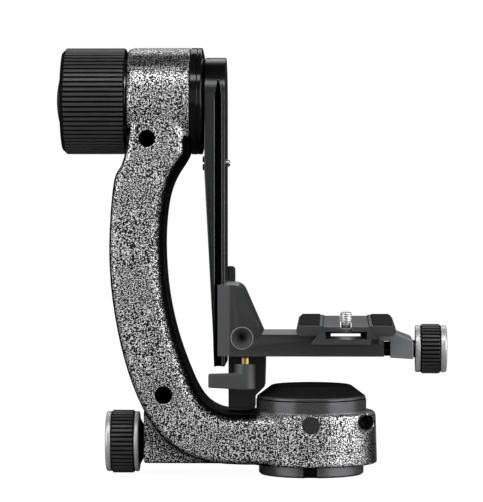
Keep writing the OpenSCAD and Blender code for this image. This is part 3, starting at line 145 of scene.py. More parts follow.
class HeadFinish(bpy.types.PropertyGroup):
    """Sizes and colours of the head's finishes"""
    paint_silver: FloatVectorProperty(
        name="Hammertone silver", description="Colour of the raised silver in the frame's paint",
        subtype="COLOR", default=(0.86, 0.86, 0.86), min=0, max=1)
    paint_black: FloatVectorProperty(
        name="Hammertone black", description="Colour of the black ground in the frame's paint",
        subtype="COLOR", default=(0.006, 0.006, 0.0065), min=0, max=1)
    paint_grain: FloatProperty(
        name="Hammertone grain", description="Width of one fleck of the frame's paint",
        unit="LENGTH", default=0.00067, min=0.0003, max=0.004)
    paint_share: FloatProperty(
        name="Hammertone ground", description="How much of the frame's paint is black ground",
        default=0.548, min=0.2, max=0.8)
    cast_voxel: FloatProperty(
        name="Casting detail", description="Size of the cells that the casting is skinned with",
        unit="LENGTH", default=0.0009, min=0.0007, max=0.003)
    cast_smoothing: IntProperty(
        name="Casting smoothing", description="How often the casting's skin is relaxed",
        default=7, min=0, max=40)
    gloss_black: FloatVectorProperty(
        name="Polished black", description="Colour of the polished black parts",
        subtype="COLOR", default=(0.004, 0.004, 0.0045), min=0, max=1)
    satin_black: FloatVectorProperty(
        name="Satin black", description="Colour of the black anodised parts",
        subtype="COLOR", default=(0.05, 0.051, 0.053), min=0, max=1)
    satin_grey: FloatVectorProperty(
        name="Satin grey", description="Colour of the dark grey anodised parts",
        subtype="COLOR", default=(0.075, 0.076, 0.078), min=0, max=1)
    rubber: FloatVectorProperty(
        name="Rubber", description="Colour of the ribbed grips",
        subtype="COLOR", default=(0.036, 0.036, 0.0365), min=0, max=1)
    # Places the painted shade on the floors between the grips' ribs
    rib_depth: FloatProperty(
        name="Rib depth", description="How deep the floors lie between the grips' ribs",
        unit="LENGTH", default=0.0008, min=0.0002, max=0.002)
    brass: FloatVectorProperty(
        name="Brass", description="Colour of the lever's stud",
        subtype="COLOR", default=(0.80, 0.56, 0.22), min=0, max=1)


class StageLook(bpy.types.PropertyGroup):
    """The camera, the lamps and the floor"""
    camera_place: FloatVectorProperty(
        name="Camera place", description="Where the camera stands",
        subtype="TRANSLATION", unit="LENGTH", default=(0.0133, -1.808, 0.183))
    camera_target: FloatVectorProperty(
        name="Camera target", description="The point at the middle of the picture",
        subtype="TRANSLATION", unit="LENGTH", default=(-0.0395, 0, 0.1259))
    camera_lens: FloatProperty(
        name="Lens", description="Focal length on a 36 mm sensor", default=229.5, min=50, max=400)
    lamp_power: FloatProperty(
        name="Lamp power", description="Power that each softbox has its share of",
        unit="POWER", default=11, min=0, max=200)
    air_light: FloatProperty(
        name="Room light", description="How brightly the room lights the head",
        default=0.2, min=0, max=2)


def accessory_holes():
    """Each accessory hole's place across and up, and its radius"""
    return [(m["pos_m"][0], m["pos_m"][2], HOLE_RADIUS[m["name"]])
            for m in RECORD["mounts"] if m["name"] in HOLE_RADIUS]


def middle(node):
    """The middle of a node's box, as three numbers"""
    return [(low + high) / 2 for low, high in zip(*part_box(node))]


def finish_of():
    return bpy.context.scene.head_finish


def stage_of():
    return bpy.context.scene.stage_look


class Value:
    """A number on a material's wire, which ordinary maths works on"""

    def __init__(self, paint, socket):
        self.paint, self.socket = paint, socket

    def maths(self, operation, *values):
        return self.paint.value("ShaderNodeMath", {"operation": operation}, dict(enumerate(values)))

    def __add__(self, other):
        return self.maths("ADD", self, other)

    def __sub__(self, other):
        return self.maths("SUBTRACT", self, other)

    def __rsub__(self, other):
        return self.maths("SUBTRACT", other, self)

    def __mul__(self, other):
        return self.maths("MULTIPLY", self, other)

    def __pow__(self, other):
        return self.maths("POWER", self, other)

    def __abs__(self):
        return self.maths("ABSOLUTE", self)

    __radd__, __rmul__ = __add__, __mul__

    def above(self, low, high):
        """0 under low and 1 over high, with a soft step between them"""
        return self.paint.value(
            "ShaderNodeMapRange", {"interpolation_type": "SMOOTHSTEP"},
            {"Value": self, "From Min": low, "From Max": high})

    def below(self, low, high):
        """1 under low and 0 over high, with a soft step between them"""
        return 1 - self.above(low, high)

    def most(self, other):
        return self.maths("MAXIMUM", self, other)


class Paint:
    """One material, or the world, put together from nodes"""

    def __init__(self, owner, surface="ShaderNodeBsdfPrincipled", out="ShaderNodeOutputMaterial"):
        owner.use_nodes = True
        self.tree = owner.node_tree
        self.tree.nodes.clear()
        self.surface = self.tree.nodes.new(surface)
        self.out = self.tree.nodes.new(out)
        self.tree.links.new(self.surface.outputs[0], self.out.inputs["Surface"])

    def put(self, socket, value):
        """Links a value to a socket, or sets the socket to a plain number or colour"""
        if isinstance(value, Value):
            self.tree.links.new(value.socket, socket)
        elif isinstance(value, bpy.types.NodeSocket):
            self.tree.links.new(value, socket)
        elif socket.type == "RGBA":
            socket.default_value = (*value[:3], 1)
        else:
            socket.default_value = value

    def node(self, kind, settings, sockets):
        """A node of one type, with its settings made first and its sockets filled after them"""
        made = self.tree.nodes.new(kind)
        for name, setting in settings.items():
            setattr(made, name, setting)
        for name, value in sockets.items():
            self.put(made.inputs[name], value)
        return made

    def value(self, kind, settings, sockets, output=0):
        return Value(self, self.node(kind, settings, sockets).outputs[output])

    def place(self, stretch=(1, 1, 1)):
        coordinates = self.node("ShaderNodeTexCoord", {}, {})
        return self.node("ShaderNodeMapping", {}, {
            "Vector": coordinates.outputs["Object"], "Scale": stretch}).outputs[0]

    def spot(self, output):
        """A point's place or facing on the piece, as three numbers"""
        coordinates = self.node("ShaderNodeTexCoord", {}, {})
        parts = self.node("ShaderNodeSeparateXYZ", {}, {0: coordinates.outputs[output]})
        return [Value(self, part) for part in parts.outputs]

    def noise(self, size, detail=2.0, rough=0.5, bend=0.0, stretch=(1, 1, 1)):
        return self.value("ShaderNodeTexNoise", {}, {
            "Vector": self.place(stretch), "Scale": 1 / size, "Detail": detail,
            "Roughness": rough, "Distortion": bend})

    def blend(self, share, first, second):
        """The first colour, giving way to the second as the share grows"""
        made = self.node("ShaderNodeMix", {"data_type": "RGBA"}, {})
        self.put(made.inputs[0], share)
        self.put(made.inputs[6], first)
        self.put(made.inputs[7], second)
        return made.outputs[2]

    def bump(self, height, depth, strength=1.0):
        return self.node("ShaderNodeBump", {}, {
            "Height": height, "Distance": depth, "Strength": strength}).outputs[0]

    def edge_wear_and_highlight(self):
        """How far a spot lies on an outer edge, from the surface's own curve"""
        bent = self.value("ShaderNodeNewGeometry", {}, {}, "Pointiness")
        return bent.above(0.51, 0.56)

    def paint_shade(self, share):
        """Fades the surface into painted shade: a black that mirrors nothing"""
        shade_surface = self.node("ShaderNodeBsdfDiffuse", {}, {"Color": PAINTED_SHADE_BLACK})
        mixed = self.node("ShaderNodeMixShader", {}, {
            0: share, 1: self.surface.outputs[0], 2: shade_surface.outputs[0]})
        self.tree.links.new(mixed.outputs[0], self.out.inputs["Surface"])

    def lighten(self, share, colour):
        """Lays a lighter colour over the base colour that is there: painted light and highlights,
        and the draw bar's bright ring
        """
        under = self.surface.inputs["Base Color"].links[0].from_socket
        self.finish(Base_Color=self.blend(share, under, colour))

    def finish(self, **sockets):
        """Fills the surface's own sockets, named with _ for a space"""
        for name, value in sockets.items():
            self.put(self.surface.inputs[name.replace("_", " ")], value)


def new_paint(name):
    return Paint(bpy.data.materials.new(name + "_finish"))


def shade(colour, factor):
    return tuple(min(1, c * factor) for c in colour)


def far(first, second):
    """How far a spot lies from an axis, from its offsets on the two sides across it"""
    return (first ** 2 + second ** 2) ** 0.5


def inner_facing(p):
    """How far the arm's skin turns to the inside of the C"""
    x, y, z = p.spot("Object")
    nx, ny, nz = p.spot("Normal")
    facing = nx.most((nx + nz) * DIAGONAL).most(nz).most((nx - nz) * DIAGONAL)
    return facing * z.below(*INNER_TOP) * x.below(*INNER_RIGHT)


def frame_shade(p, inner):
    """Painted shade on the frame's skin: its edges, inside the C, the pan housing's end, the holes
    """
    x, y, z = p.spot("Object")
    nx, ny, nz = p.spot("Normal")
    aside = ny.above(-0.3, -0.02)
    join = z.above(*JOIN_FOOT) * x.above(*JOIN_LEFT)
    inside = (inner * (join * 0.5 + 1)).above(0.5, 0.92).most(inner.above(0.2, 0.5) * 0.3)
    outer = (0 - nx).most((nx + nz) * -DIAGONAL).most(0 - nz)
    outside = outer.above(0.55, 0.8).most(outer.above(0.2, 0.5) * 0.55) * (1 - aside)
    shoulder = z.above(*SHOULDER_FOOT) * z.below(*SHOULDER_TOP)
    pan_end = nx.above(0.75, 0.93) * z.below(*PAN_END_TOP) * x.above(*PAN_END_LEFT)
    black = (inside * (1 - aside * 0.65)).most(outside)
    black = black.most(nz.above(0.58, 0.68) * shoulder * 0.7).most(pan_end * (1 - aside) * 0.85)
    for hole_x, hole_z, radius in accessory_holes():
        hole = far(x - hole_x, z - hole_z).below(radius - HOLE_RIM, radius + HOLE_RIM)
        black = black.most(hole)
    return black


def silver_lost_to_shade(p, inner):
    """Painted shade: less silver shows inside the C, and a little on the pan lock's block"""
    x, y, z = p.spot("Object")
    block = z.below(*BLOCK_TOP) * x.below(*BLOCK_RIGHT)
    block = block * y.below(*BLOCK_SIDE) * (0 - y).below(*BLOCK_SIDE)
    return (inner.above(0.35, 0.8) * 0.2).most(block * 0.045)


def hammertone():
    """Silver worms that stand up from a black ground, as in hammered paint"""
    look = finish_of()
    p = new_paint("hammertone")
    worm = p.noise(look.paint_grain, detail=0.0, bend=0.3)
    inner = inner_facing(p)
    silver = (worm - silver_lost_to_shade(p, inner)).above(
        look.paint_share - WORM_EDGE, look.paint_share + WORM_EDGE)
    p.finish(Base_Color=p.blend(silver, look.paint_black, look.paint_silver),
             Metallic=silver * 0.6, Roughness=0.4 - silver * 0.08, Specular_IOR_Level=0.15,
             Normal=p.bump(worm.above(0.38, 0.62), WORM_HEIGHT))
    # Painted shade at the frame's edges, inside the C, at the pan housing's end and in the holes
    p.paint_shade(frame_shade(p, inner))


def anodised(name, colour, rough, mask=None):
    """Fine blasted metal under a dyed skin, a little lighter on its edges: rubbed wear, and a
    painted highlight along them
    """
    p = new_paint(name)
    fine = p.noise(BLAST_GRAIN, rough=0.6)
    cloud = p.noise(BLAST_CLOUD, detail=3.0, rough=0.6)
    tone = p.blend((cloud - 0.35) * 1.4, shade(colour, 0.9), shade(colour, 1.1))
    p.finish(Base_Color=p.blend(p.edge_wear_and_highlight() * 0.35, tone, shade(colour, 2.2)),
             Roughness=rough + (fine - 0.5) * 0.12 + (cloud - 0.5) * 0.06,
             Metallic=0.8, Normal=p.bump(fine, BLAST_HEIGHT, 0.5))
    if mask:
        mask(p)


def groove_mask(p):
    """Painted shade: the swing arm's long groove is black to its floor, and its crown is dark"""
    x, y, z = p.spot("Object")
    nz = p.spot("Normal")[2]
    low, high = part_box("swing_arm")
    half = -low.y
    wall = (half - 0.0004, half - 0.0001)
    left, right = (high.x - 0.00585, high.x - 0.00575), (high.x - 0.0021, high.x - 0.002)
    front = (-0.015, -0.014)
    crown_foot = (0.212, 0.214)
    rounded = (z - (high.z - half)).most(0)
    groove = far(y, rounded).below(*wall) * x.above(*left) * x.below(*right) * y.below(*front)
    crown = nz.above(0.3, 0.55) * nz.below(0.78, 0.9) * z.above(*crown_foot)
    p.paint_shade((groove * 0.95).most(crown * 0.8))


def dish_mask(p):
    """The draw bar's end: painted shade darkens its cone to the middle and its edge outside a
    bright ring
    """
    x, y, z = p.spot("Object")
    low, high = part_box("draw_bar")
    centre = middle("draw_bar")
    cone, end = (0.0006, 0.0046), (low.y + 0.004, low.y + 0.005)
    ring_start, ring_stop, rim = (0.0059, 0.006), (0.00625, 0.0063), (0.00628, 0.0063)
    away = far(x - centre[0], z - centre[2])
    near = y.below(*end)
    p.lighten(away.above(*ring_start) * away.below(*ring_stop) * near, BRIGHT_LINE)
    p.paint_shade(away.below(*cone).most(away.above(*rim)) * near * 0.92)


def carriage_mask(p):
    """Painted on the carriage: a lit top, shade on its left strip and cheek, two highlights on the
    cheek's rim
    """
    x, y, z = p.spot("Object")
    nx, ny, nz = p.spot("Normal")
    strip_right = (-0.0454, -0.0451)
    rim_foot, rim_top = (0.083, 0.085), (0.108, 0.110)
    line, gap, cheek = (0.0001, 0.0003), 0.0008, (0.001, 0.0012)
    edge_x, edge_z, lean_x, lean_z = -0.0361, 0.1024, 0.929, 0.3707
    front = ny.below(-0.9, -0.8)
    inward = (x - edge_x) * lean_x + (z - edge_z) * lean_z
    rim = front * z.above(*rim_foot) * z.below(*rim_top)
    lines = (abs(inward).below(*line) * 0.7).most(abs(inward - gap).below(*line) * 0.45)
    p.lighten(nz.above(0.85, 0.95), shade(finish_of().satin_grey, 7))
    p.lighten(lines * rim, BRIGHT_LINE)
    p.paint_shade((x.below(*strip_right) * front * 0.3).most(inward.above(*cheek) * rim * 0.6))


def plate_mask(p):
    """Painted light: the plate's top is lighter than its sides"""
    p.lighten(p.spot("Normal")[2].above(0.85, 0.95), shade(finish_of().satin_grey, 4.5))


def thread_mask(p):
    """The screw's thread: painted highlights on its crests between dark lines, down to where the
    shank is plain
    """
    x, y, z = p.spot("Object")
    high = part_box("camera_screw")[1]
    thread_foot, slant = (high.z - 0.0075, high.z - 0.0074), 300
    turn = z.maths("SINE", z * (2 * math.pi / THREAD_PITCH) + x * slant)
    p.lighten(turn.above(-0.4, 0.4) * z.above(*thread_foot), CREST_HIGHLIGHT)


def ring_mask(p):
    """The base ring's front notch lies in its own shadow"""
    x, y, z = p.spot("Object")
    notch_x, notch_half, front = -0.0004, (0.0038, 0.0041), (-0.02, -0.019)
    p.paint_shade(abs(x - notch_x).below(*notch_half) * y.below(*front) * 0.92)


def cap_mask(p):
    """Pan cap: painted shade in the groove and on the cone, a thin painted highlight on the ridge
    above
    """
    z = p.spot("Object")[2]
    ridge = z.above(0.0440, 0.04405) * z.below(0.04445, 0.0445)
    groove = z.above(0.04255, 0.0426) * z.below(0.04302, 0.04306)
    cone = z.above(0.0445, 0.0447)
    p.lighten(ridge, BRIGHT_LINE)
    p.paint_shade(groove.most(cone * 0.55))


def jaw_mask(p):
    """Painted shade on the jaw's underside and its right chamfer"""
    nx, ny, nz = p.spot("Normal")
    p.paint_shade((0 - nz).above(0.4, 0.9).most(nx.above(0.3, 0.8)) * 0.7)


def stud_mask(p):
    """Painted shade on the brass stud towards its two sides and its top, leaving a bright middle"""
    x, y, z = p.spot("Object")
    bright_offset, side, top = 0.0004, (0.0008, 0.0024), (0.0666, 0.0672)
    aside = abs(x - middle("lever_stud")[0] - bright_offset)
    p.paint_shade(aside.above(*side).most(z.above(*top)) * 0.95)


def polished_black():
    p = new_paint("gloss_black")
    smear = p.noise(POLISH_SMEAR, detail=3.0)
    lines = p.noise(POLISH_LINE, detail=1.0, stretch=(1, 0.05, 0.05))
    p.finish(Base_Color=finish_of().gloss_black, Roughness=0.12 + (smear - 0.5) * 0.08,
             Specular_IOR_Level=0.35, Normal=p.bump(lines, POLISH_HEIGHT, 0.4))


def fine_rubber(name, colour, rough=0.42, gloss=0.5):
    """Rubber with a fine grain and a little dust"""
    p = new_paint(name)
    fine = p.noise(RUBBER_GRAIN, detail=3.0, rough=0.65)
    dust = p.noise(RUBBER_DUST, detail=4.0, rough=0.6)
    p.finish(Base_Color=p.blend((dust - 0.4) * 1.2, shade(colour, 0.8), shade(colour, 1.35)),
             Roughness=rough + (dust - 0.5) * 0.14, Specular_IOR_Level=gloss,
             Normal=p.bump(fine, RUBBER_HEIGHT, 0.5))
    return p


def grip_rubber(node):
    """The rubber of one ribbed grip, with painted shade on the floors between its ribs"""
    look = finish_of()
    p = fine_rubber(node, look.rubber)
    x, y, z = p.spot("Object")
    low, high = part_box(node)
    radius = (high.z - low.z) / 2
    out = far(y, z - middle(node)[2])
    p.paint_shade(out.below(radius - look.rib_depth * 0.75, radius - look.rib_depth * 0.1) * 0.9)


def turned_metal(name, colour, rough, stretch=(1, 0.04, 0.04), metal=1.0, mask=None):
    """Bare metal with the fine rings that a lathe leaves"""
    p = new_paint(name)
    rings = p.noise(LATHE_RING, detail=1.5, stretch=stretch)
    smear = p.noise(LATHE_SMEAR, detail=3.0)
    p.finish(Base_Color=p.blend(smear, shade(colour, 0.86), colour), Metallic=metal,
             Roughness=rough + (rings - 0.5) * 0.14 + (smear - 0.5) * 0.08,
             Normal=p.bump(rings, LATHE_HEIGHT, 0.5))
    if mask:
        mask(p)


def nylon():
    p = new_paint("nylon")
    p.finish(Base_Color=p.blend(p.noise(NYLON_GRAIN), NYLON_DARK, NYLON_LIGHT), Roughness=0.5)


# Each anodised finish: the colour it comes from, how many times lighter it is than that, how rough
# it is, and the light and shade painted on it
ANODISED = {
    "black_anodised": ("satin_black", 1, 0.3, None),
    "grey_anodised": ("satin_grey", 1, 0.4, None),
    "arm_anodised": ("satin_black", 1, 0.24, groove_mask),
    "bar_anodised": ("satin_grey", 0.9, 0.6, dish_mask),
    "block_anodised": ("satin_black", 0.75, 0.36, None),
    "cap_anodised": ("satin_grey", 1.9, 0.2, cap_mask),
    "carriage_anodised": ("satin_grey", 1, 0.4, carriage_mask),
    "jaw_anodised": ("satin_grey", 3.6, 0.4, jaw_mask),
    "knob_cap_anodised": ("satin_black", 3.4, 0.3, None),
    "lever_anodised": ("satin_grey", 1.6, 0.55, None),
    "plate_anodised": ("satin_black", 1.7, 0.34, plate_mask),
    "ring_anodised": ("satin_grey", 2.2, 0.34, ring_mask),
}


def finishes():
    """Makes every finish, once"""
    if "hammertone_finish" in bpy.data.materials:
        return
    look = finish_of()
    hammertone()
    polished_black()
    nylon()
    for name, (base, factor, rough, mask) in ANODISED.items():
        anodised(name, shade(getattr(look, base), factor), rough, mask)
    anodised("black_screw", SCREW_BLACK, 0.3)
    for grip in GRIPS:
        grip_rubber(grip)
    fine_rubber("knob_rubber", look.rubber)
    fine_rubber("pad_rubber", shade(look.rubber, 0.2), 0.75, gloss=0.12)
    fine_rubber("plug_black", shade(look.rubber, 0.52), 0.5)
    turned_metal("bare_aluminium", ALUMINIUM, 0.4, metal=0.6)
    turned_metal("brass", look.brass, 0.34, stretch=(0.04, 0.04, 1), mask=stud_mask)
    turned_metal("screw_steel", DULL_STEEL, 0.42, metal=0.7, mask=thread_mask)
    turned_metal("steel", STEEL, 0.24)


def paint_with(piece, finish):
    piece.data.materials.clear()
    piece.data.materials.append(bpy.data.materials[finish + "_finish"])


def pick(piece):
    """Selects one piece and nothing else, and makes it active"""
    bpy.ops.object.select_all(action="DESELECT")
    piece.select_set(True)
    bpy.context.view_layer.objects.active = piece


def edit(piece):
    """Opens a piece in edit mode, with all of it selected"""
    pick(piece)
    bpy.ops.object.mode_set(mode="EDIT")
    bpy.ops.mesh.select_all(action="SELECT")


def modify(piece, kind, **settings):
    """Adds a modifier, sets it and applies it"""
    pick(piece)
    bpy.ops.object.modifier_add(type=kind)
    added = piece.modifiers[-1]
    for name, setting in settings.items():
        setattr(added, name, setting)
    bpy.ops.object.modifier_apply(modifier=added.name)


def copy_of(node, flat=0):
    """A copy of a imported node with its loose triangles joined, and those that lie flatter than
    an angle in degrees made one face"""
    pick(frame["nodes"][node])
    bpy.ops.object.duplicate()
    piece = bpy.context.view_layer.objects.active
    piece.parent = None
    for key in [k for k in piece.keys() if k.startswith("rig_")]:
        del piece[key]
    piece.name = node + "_part"
    edit(piece)
    bpy.ops.mesh.remove_doubles(threshold=MERGE)
    if flat:
        bpy.ops.mesh.dissolve_limited(angle_limit=math.radians(flat))
    bpy.ops.object.mode_set(mode="OBJECT")
    return piece


def skinned(node, cell):
    """A cast or forged part: its copy under a new skin of small cells, ready to be relaxed"""
    piece = copy_of(node)
    modify(piece, "REMESH", mode="VOXEL", voxel_size=cell)
    return piece


def relax(piece, times, group=""):
    modify(piece, "SMOOTH", factor=0.5, iterations=times, vertex_group=group)


def mark(piece, name, test):
    """Groups the points of a piece for which the test of their place is true"""
    group = piece.vertex_groups.new(name=name)
    group.add([v.index for v in piece.data.vertices if test(v.co)], 1, "REPLACE")


def keep(piece, node, finish=None):
    """The piece rides with its node's body, hides its node, and takes the finish given or else the
    one named by the node's slot
    """
    paint_with(piece, finish or SLOT[node])
    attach(piece, BODY[node])
    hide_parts(node)


def smooth(piece, angle):
    pick(piece)
    bpy.ops.object.shade_smooth_by_angle(angle=math.radians(angle))


def smooth_flat(piece, angle):
    """Smooth shading that leaves the large flat faces flat"""
    smooth(piece, angle)
    modify(piece, "WEIGHTED_NORMAL", keep_sharp=True)


def dress(node, edge, segments=2, corner=CORNER, angle=SMOOTH_ANGLE, finish=None, clamp=False):
    """A machined part: whole faces, rounded edges and its finish"""
    piece = copy_of(node, FLAT_ANGLE)
    modify(piece, "BEVEL", width=edge, segments=segments, limit_method="ANGLE",
           angle_limit=math.radians(corner), use_clamp_overlap=clamp, miter_outer="MITER_ARC")
    smooth_flat(piece, angle)
    keep(piece, node, finish)
    return piece


def turned(name, profile, sides=144):
    """A piece turned about the pan axis: a disc drawn up through its outline, top closed flat"""
    radius, height = profile[0]
    bpy.ops.object.select_all(action="DESELECT")
    bpy.ops.mesh.primitive_circle_add(vertices=sides, radius=radius / 1000, fill_type="NGON",
                                      location=(0, 0, 0))
    piece = bpy.context.object
    piece.name = name
    edit(piece)
    bpy.ops.transform.translate(value=(0, 0, height / 1000))
    for next_radius, next_height in profile[1:]:
        bpy.ops.mesh.extrude_region_move(
            TRANSFORM_OT_translate={"value": (0, 0, (next_height - height) / 1000)})
        growth = next_radius / radius
        bpy.ops.transform.resize(value=(growth, growth, 1),
                                 center_override=(0, 0, next_height / 1000))
        radius, height = next_radius, next_height
    bpy.ops.mesh.select_all(action="SELECT")
    bpy.ops.mesh.normals_make_consistent(inside=False)
    bpy.ops.object.mode_set(mode="OBJECT")
    smooth_flat(piece, CAP_ANGLE)
    return piece


class HEAD_OT_frame(bpy.types.Operator):
    """Skins the frame casting with soft cast edges and hammertone paint"""
    bl_idname = "head.frame"
    bl_label = "Frame casting"

    def execute(self, context):
        look = finish_of()
        finishes()
        piece = skinned("frame_casting", look.cast_voxel)
        mark(piece, "cast", lambda point: not self.machined(point))
        relax(piece, 2)
        relax(piece, look.cast_smoothing, "cast")
        mark(piece, "join", self.joining)
        relax(piece, look.cast_smoothing * SWEEP_SMOOTHING, "join")
        smooth(piece, CAST_ANGLE)
        keep(piece, "frame_casting")
        return {"FINISHED"}

    def joining(self, point):
        """True where the arm runs into the tilt housing, which flows over in one sweep"""
        x, y, z = point
        return (SWEEP_FOOT < z < SWEEP_TOP and SWEEP_LEFT < x < RIGHT_FACE - SWEEP_GAP
                and not self.machined(point))

    def machined(self, point):
        """True near the faces that are turned after casting, which keep their edges"""
        x, y, z = point
        tilt_end = z > TILT_FOOT and (
            RIGHT_FACE - RIGHT_DEPTH < x < TILT_RIGHT or x < LEFT_FACE + LEFT_DEPTH)
        pan_seat = (math.hypot(x, y) < PAN_RADIUS and x > PAN_LEFT
                    and not PAN_SEATS[0] <= z <= PAN_SEATS[1])
        return tilt_end or pan_seat or y < 0 and any(
            math.hypot(x - hole_x, z - hole_z) < radius + HOLE_LIP
            for hole_x, hole_z, radius in accessory_holes())


class HEAD_OT_base(bpy.types.Operator):
    """Dresses the base ring, the pan cap, the plug and the side screw"""
    bl_idname = "head.base"
    bl_label = "Base and pan cap"

    def execute(self, context):
        finishes()
        dress("base_ring", SMALL_EDGE, finish="ring_anodised", clamp=True)
        keep(turned("pan_cap_part", CAP_PROFILE), "pan_cap", "cap_anodised")
        dress("front_plug", SMALL_EDGE, finish="plug_black")
        dress("side_screw", SLIM_EDGE)
        return {"FINISHED"}


class HEAD_OT_tilt(bpy.types.Operator):
    """Dresses the tilt flange, the friction ring and the swing arm with its bolt and nub"""
    bl_idname = "head.tilt"
    bl_label = "Tilt axis and swing arm"

    def execute(self, context):
        finishes()
        dress("arm_flange", FULL_EDGE, segments=3)
        dress("friction_ring", SMALL_EDGE, segments=3, clamp=True)
        dress("swing_arm", FULL_EDGE, finish="arm_anodised")
        dress("hub_cap", SLIM_EDGE)
        dress("stop_bolt", SLIM_EDGE)
        nub = dress("stop_nub", SMALL_EDGE)
        foot = (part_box("stop_nub")[0].x, 0, middle("stop_nub")[2])
        edit(nub)
        bpy.ops.transform.resize(value=(NUB_STRETCH, 1, 1), center_override=foot)
        bpy.ops.object.mode_set(mode="OBJECT")
        return {"FINISHED"}


class HEAD_OT_knobs(bpy.types.Operator):
    """Dresses the three knobs with their ribbed grips"""
    bl_idname = "head.knobs"
    bl_label = "Knobs"

    def execute(self, context):
        finishes()
        for grip in GRIPS:
            dress(grip, RIB_EDGE, segments=1, corner=RIB_CORNER, finish=grip, clamp=True)
        dress("tilt_knob_cap", FULL_EDGE, segments=3, finish="knob_cap_anodised")
        dress("pan_knob_core", BROAD_EDGE, segments=3)
        dress("pan_knob_collar", FULL_EDGE)
        dress("clamp_knob_core", BROAD_EDGE, segments=3)
        return {"FINISHED"}


class HEAD_OT_carriage(bpy.types.Operator):
    """Dresses the height carriage with its grip block, far jaw and draw bar"""
    bl_idname = "head.carriage"
    bl_label = "Height carriage"

    def execute(self, context):
        finishes()
        dress("carriage", SMALL_EDGE, angle=CARRIAGE_ANGLE, finish="carriage_anodised",
              clamp=True)
        dress("grip_block", FULL_EDGE, finish="block_anodised")
        dress("far_jaw", FULL_EDGE)
        dress("draw_bar", FINE_EDGE, finish="bar_anodised")
        return {"FINISHED"}


class HEAD_OT_lever(bpy.types.Operator):
    """Skins the height lever with soft edges and dresses its brass stud"""
    bl_idname = "head.lever"
    bl_label = "Height lever"

    def execute(self, context):
        finishes()
        lever = skinned("height_lever", LEVER_CELL)
        relax(lever, LEVER_SMOOTHING)
        smooth(lever, CAST_ANGLE)
        keep(lever, "height_lever", "lever_anodised")
        dress("lever_stud", SLIM_EDGE)
        return {"FINISHED"}


class HEAD_OT_clamp(bpy.types.Operator):
    """Dresses the clamp's jaw and the quick-release plate"""
    bl_idname = "head.clamp"
    bl_label = "Clamp and plate"

    def execute(self, context):
        finishes()
        dress("clamp_jaw", SLIM_EDGE, finish="jaw_anodised")
        dress("quick_plate", FINE_EDGE, finish="plate_anodised")
        dress("plate_pads", FULL_EDGE)
        dress("camera_screw", FINE_EDGE, finish="screw_steel")
        dress("slot_washer", HAIR_EDGE, segments=1)
        return {"FINISHED"}


class HEAD_OT_inner_parts(bpy.types.Operator):
    """Gives the parts that stay as they were packed their finishes"""
    bl_idname = "head.inner_parts"
    bl_label = "Inner parts"

    def execute(self, context):
        finishes()
        for name, node in frame["nodes"].items():
            paint_with(node, "black_screw" if name in DARK_RODS else SLOT[name])
        return {"FINISHED"}


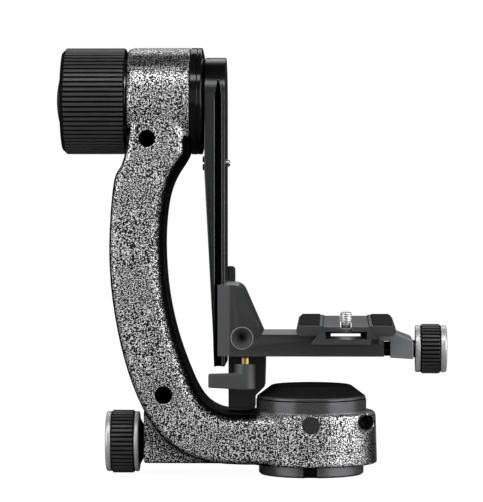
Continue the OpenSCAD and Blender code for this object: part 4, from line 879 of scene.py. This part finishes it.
class HEAD_OT_stage(bpy.types.Operator):
    """Sets up the camera, the softboxes, the white room and the floor"""
    bl_idname = "head.stage"
    bl_label = "Stage"

    def aim(self, thing, place, target):
        way = Vector(target) - Vector(place)
        thing.rotation_euler = way.to_track_quat("-Z", "Y").to_euler()

    def camera(self, scene):
        look = stage_of()
        bpy.ops.object.select_all(action="DESELECT")
        bpy.ops.object.camera_add(location=look.camera_place)
        camera = bpy.context.object
        camera.data.lens = look.camera_lens
        camera.data.clip_start, camera.data.clip_end = CLIP_START, CLIP_END
        self.aim(camera, look.camera_place, look.camera_target)
        scene.camera = camera

    def softbox(self, name, place, size, share):
        bpy.ops.object.light_add(type="AREA", location=place)
        lamp = bpy.context.object
        lamp.name = name
        lamp.data.shape = "RECTANGLE"
        lamp.data.size, lamp.data.size_y = size
        lamp.data.energy = stage_of().lamp_power * share
        self.aim(lamp, place, SOFTBOX_TARGET)

    def rays(self, p):
        """Whether a ray is seen straight or through glass, and whether it is mirrored"""
        path = p.node("ShaderNodeLightPath", {}, {}).outputs
        seen = Value(p, path["Is Camera Ray"]).most(Value(p, path["Is Transmission Ray"]))
        return seen, Value(p, path["Is Glossy Ray"])

    def room(self, scene):
        scene.world = bpy.data.worlds.new("white_room")
        p = Paint(scene.world, "ShaderNodeBackground", "ShaderNodeOutputWorld")
        seen, mirrored = self.rays(p)
        lit = mirrored * MIRRORED_ROOM + (1 - mirrored) * stage_of().air_light
        p.finish(Color=(1, 1, 1), Strength=seen + (1 - seen) * lit)

    def floor(self):
        bpy.ops.mesh.primitive_plane_add(size=FLOOR_SIZE, location=(0, 0, 0))
        floor = bpy.context.object
        floor.name = "floor"
        material = bpy.data.materials.new("white_floor")
        p = Paint(material, "ShaderNodeMixShader")
        seen, mirrored = self.rays(p)
        matt = p.node("ShaderNodeBsdfDiffuse", {}, {
            "Color": p.blend(mirrored, FLOOR_COLOUR, MIRRORED_FLOOR)})
        bright = p.node("ShaderNodeEmission", {}, {"Color": (1, 1, 1), "Strength": FLOOR_GLOW})
        p.put(p.surface.inputs[0], seen * FLOOR_GLOW_SHARE)
        p.put(p.surface.inputs[1], matt.outputs[0])
        p.put(p.surface.inputs[2], bright.outputs[0])
        floor.data.materials.append(material)

    def execute(self, context):
        self.camera(context.scene)
        for name, (place, size, share) in SOFTBOXES.items():
            self.softbox(name, place, size, share)
        self.room(context.scene)
        self.floor()
        context.scene.view_settings.view_transform = "Standard"
        return {"FINISHED"}


OPERATORS = (HEAD_OT_frame, HEAD_OT_base, HEAD_OT_tilt, HEAD_OT_knobs, HEAD_OT_carriage,
             HEAD_OT_lever, HEAD_OT_clamp, HEAD_OT_inner_parts, HEAD_OT_stage)


class HEAD_PT_panel(bpy.types.Panel):
    """Lists the head's finishes, pieces and stage"""
    bl_idname = "HEAD_PT_panel"
    bl_label = "Gimbal head"
    bl_space_type = "VIEW_3D"
    bl_region_type = "UI"
    bl_category = "Gimbal head"

    def draw(self, context):
        for group in (context.scene.head_finish, context.scene.stage_look):
            box = self.layout.box()
            for name in group.__annotations__:
                box.prop(group, name)
        for operator in OPERATORS:
            self.layout.operator(operator.bl_idname)


CLASSES = (HeadFinish, StageLook, *OPERATORS, HEAD_PT_panel)


def register():
    for cls in CLASSES:
        bpy.utils.register_class(cls)
    bpy.types.Scene.head_finish = PointerProperty(type=HeadFinish)
    bpy.types.Scene.stage_look = PointerProperty(type=StageLook)


def unregister():
    del bpy.types.Scene.stage_look
    del bpy.types.Scene.head_finish
    for cls in reversed(CLASSES):
        bpy.utils.unregister_class(cls)


def main():
    register()
    bpy.ops.head.frame()
    bpy.ops.head.base()
    bpy.ops.head.tilt()
    bpy.ops.head.knobs()
    bpy.ops.head.carriage()
    bpy.ops.head.lever()
    bpy.ops.head.clamp()
    bpy.ops.head.inner_parts()
    bpy.ops.head.stage()


if __name__ == "__main__":
    main()
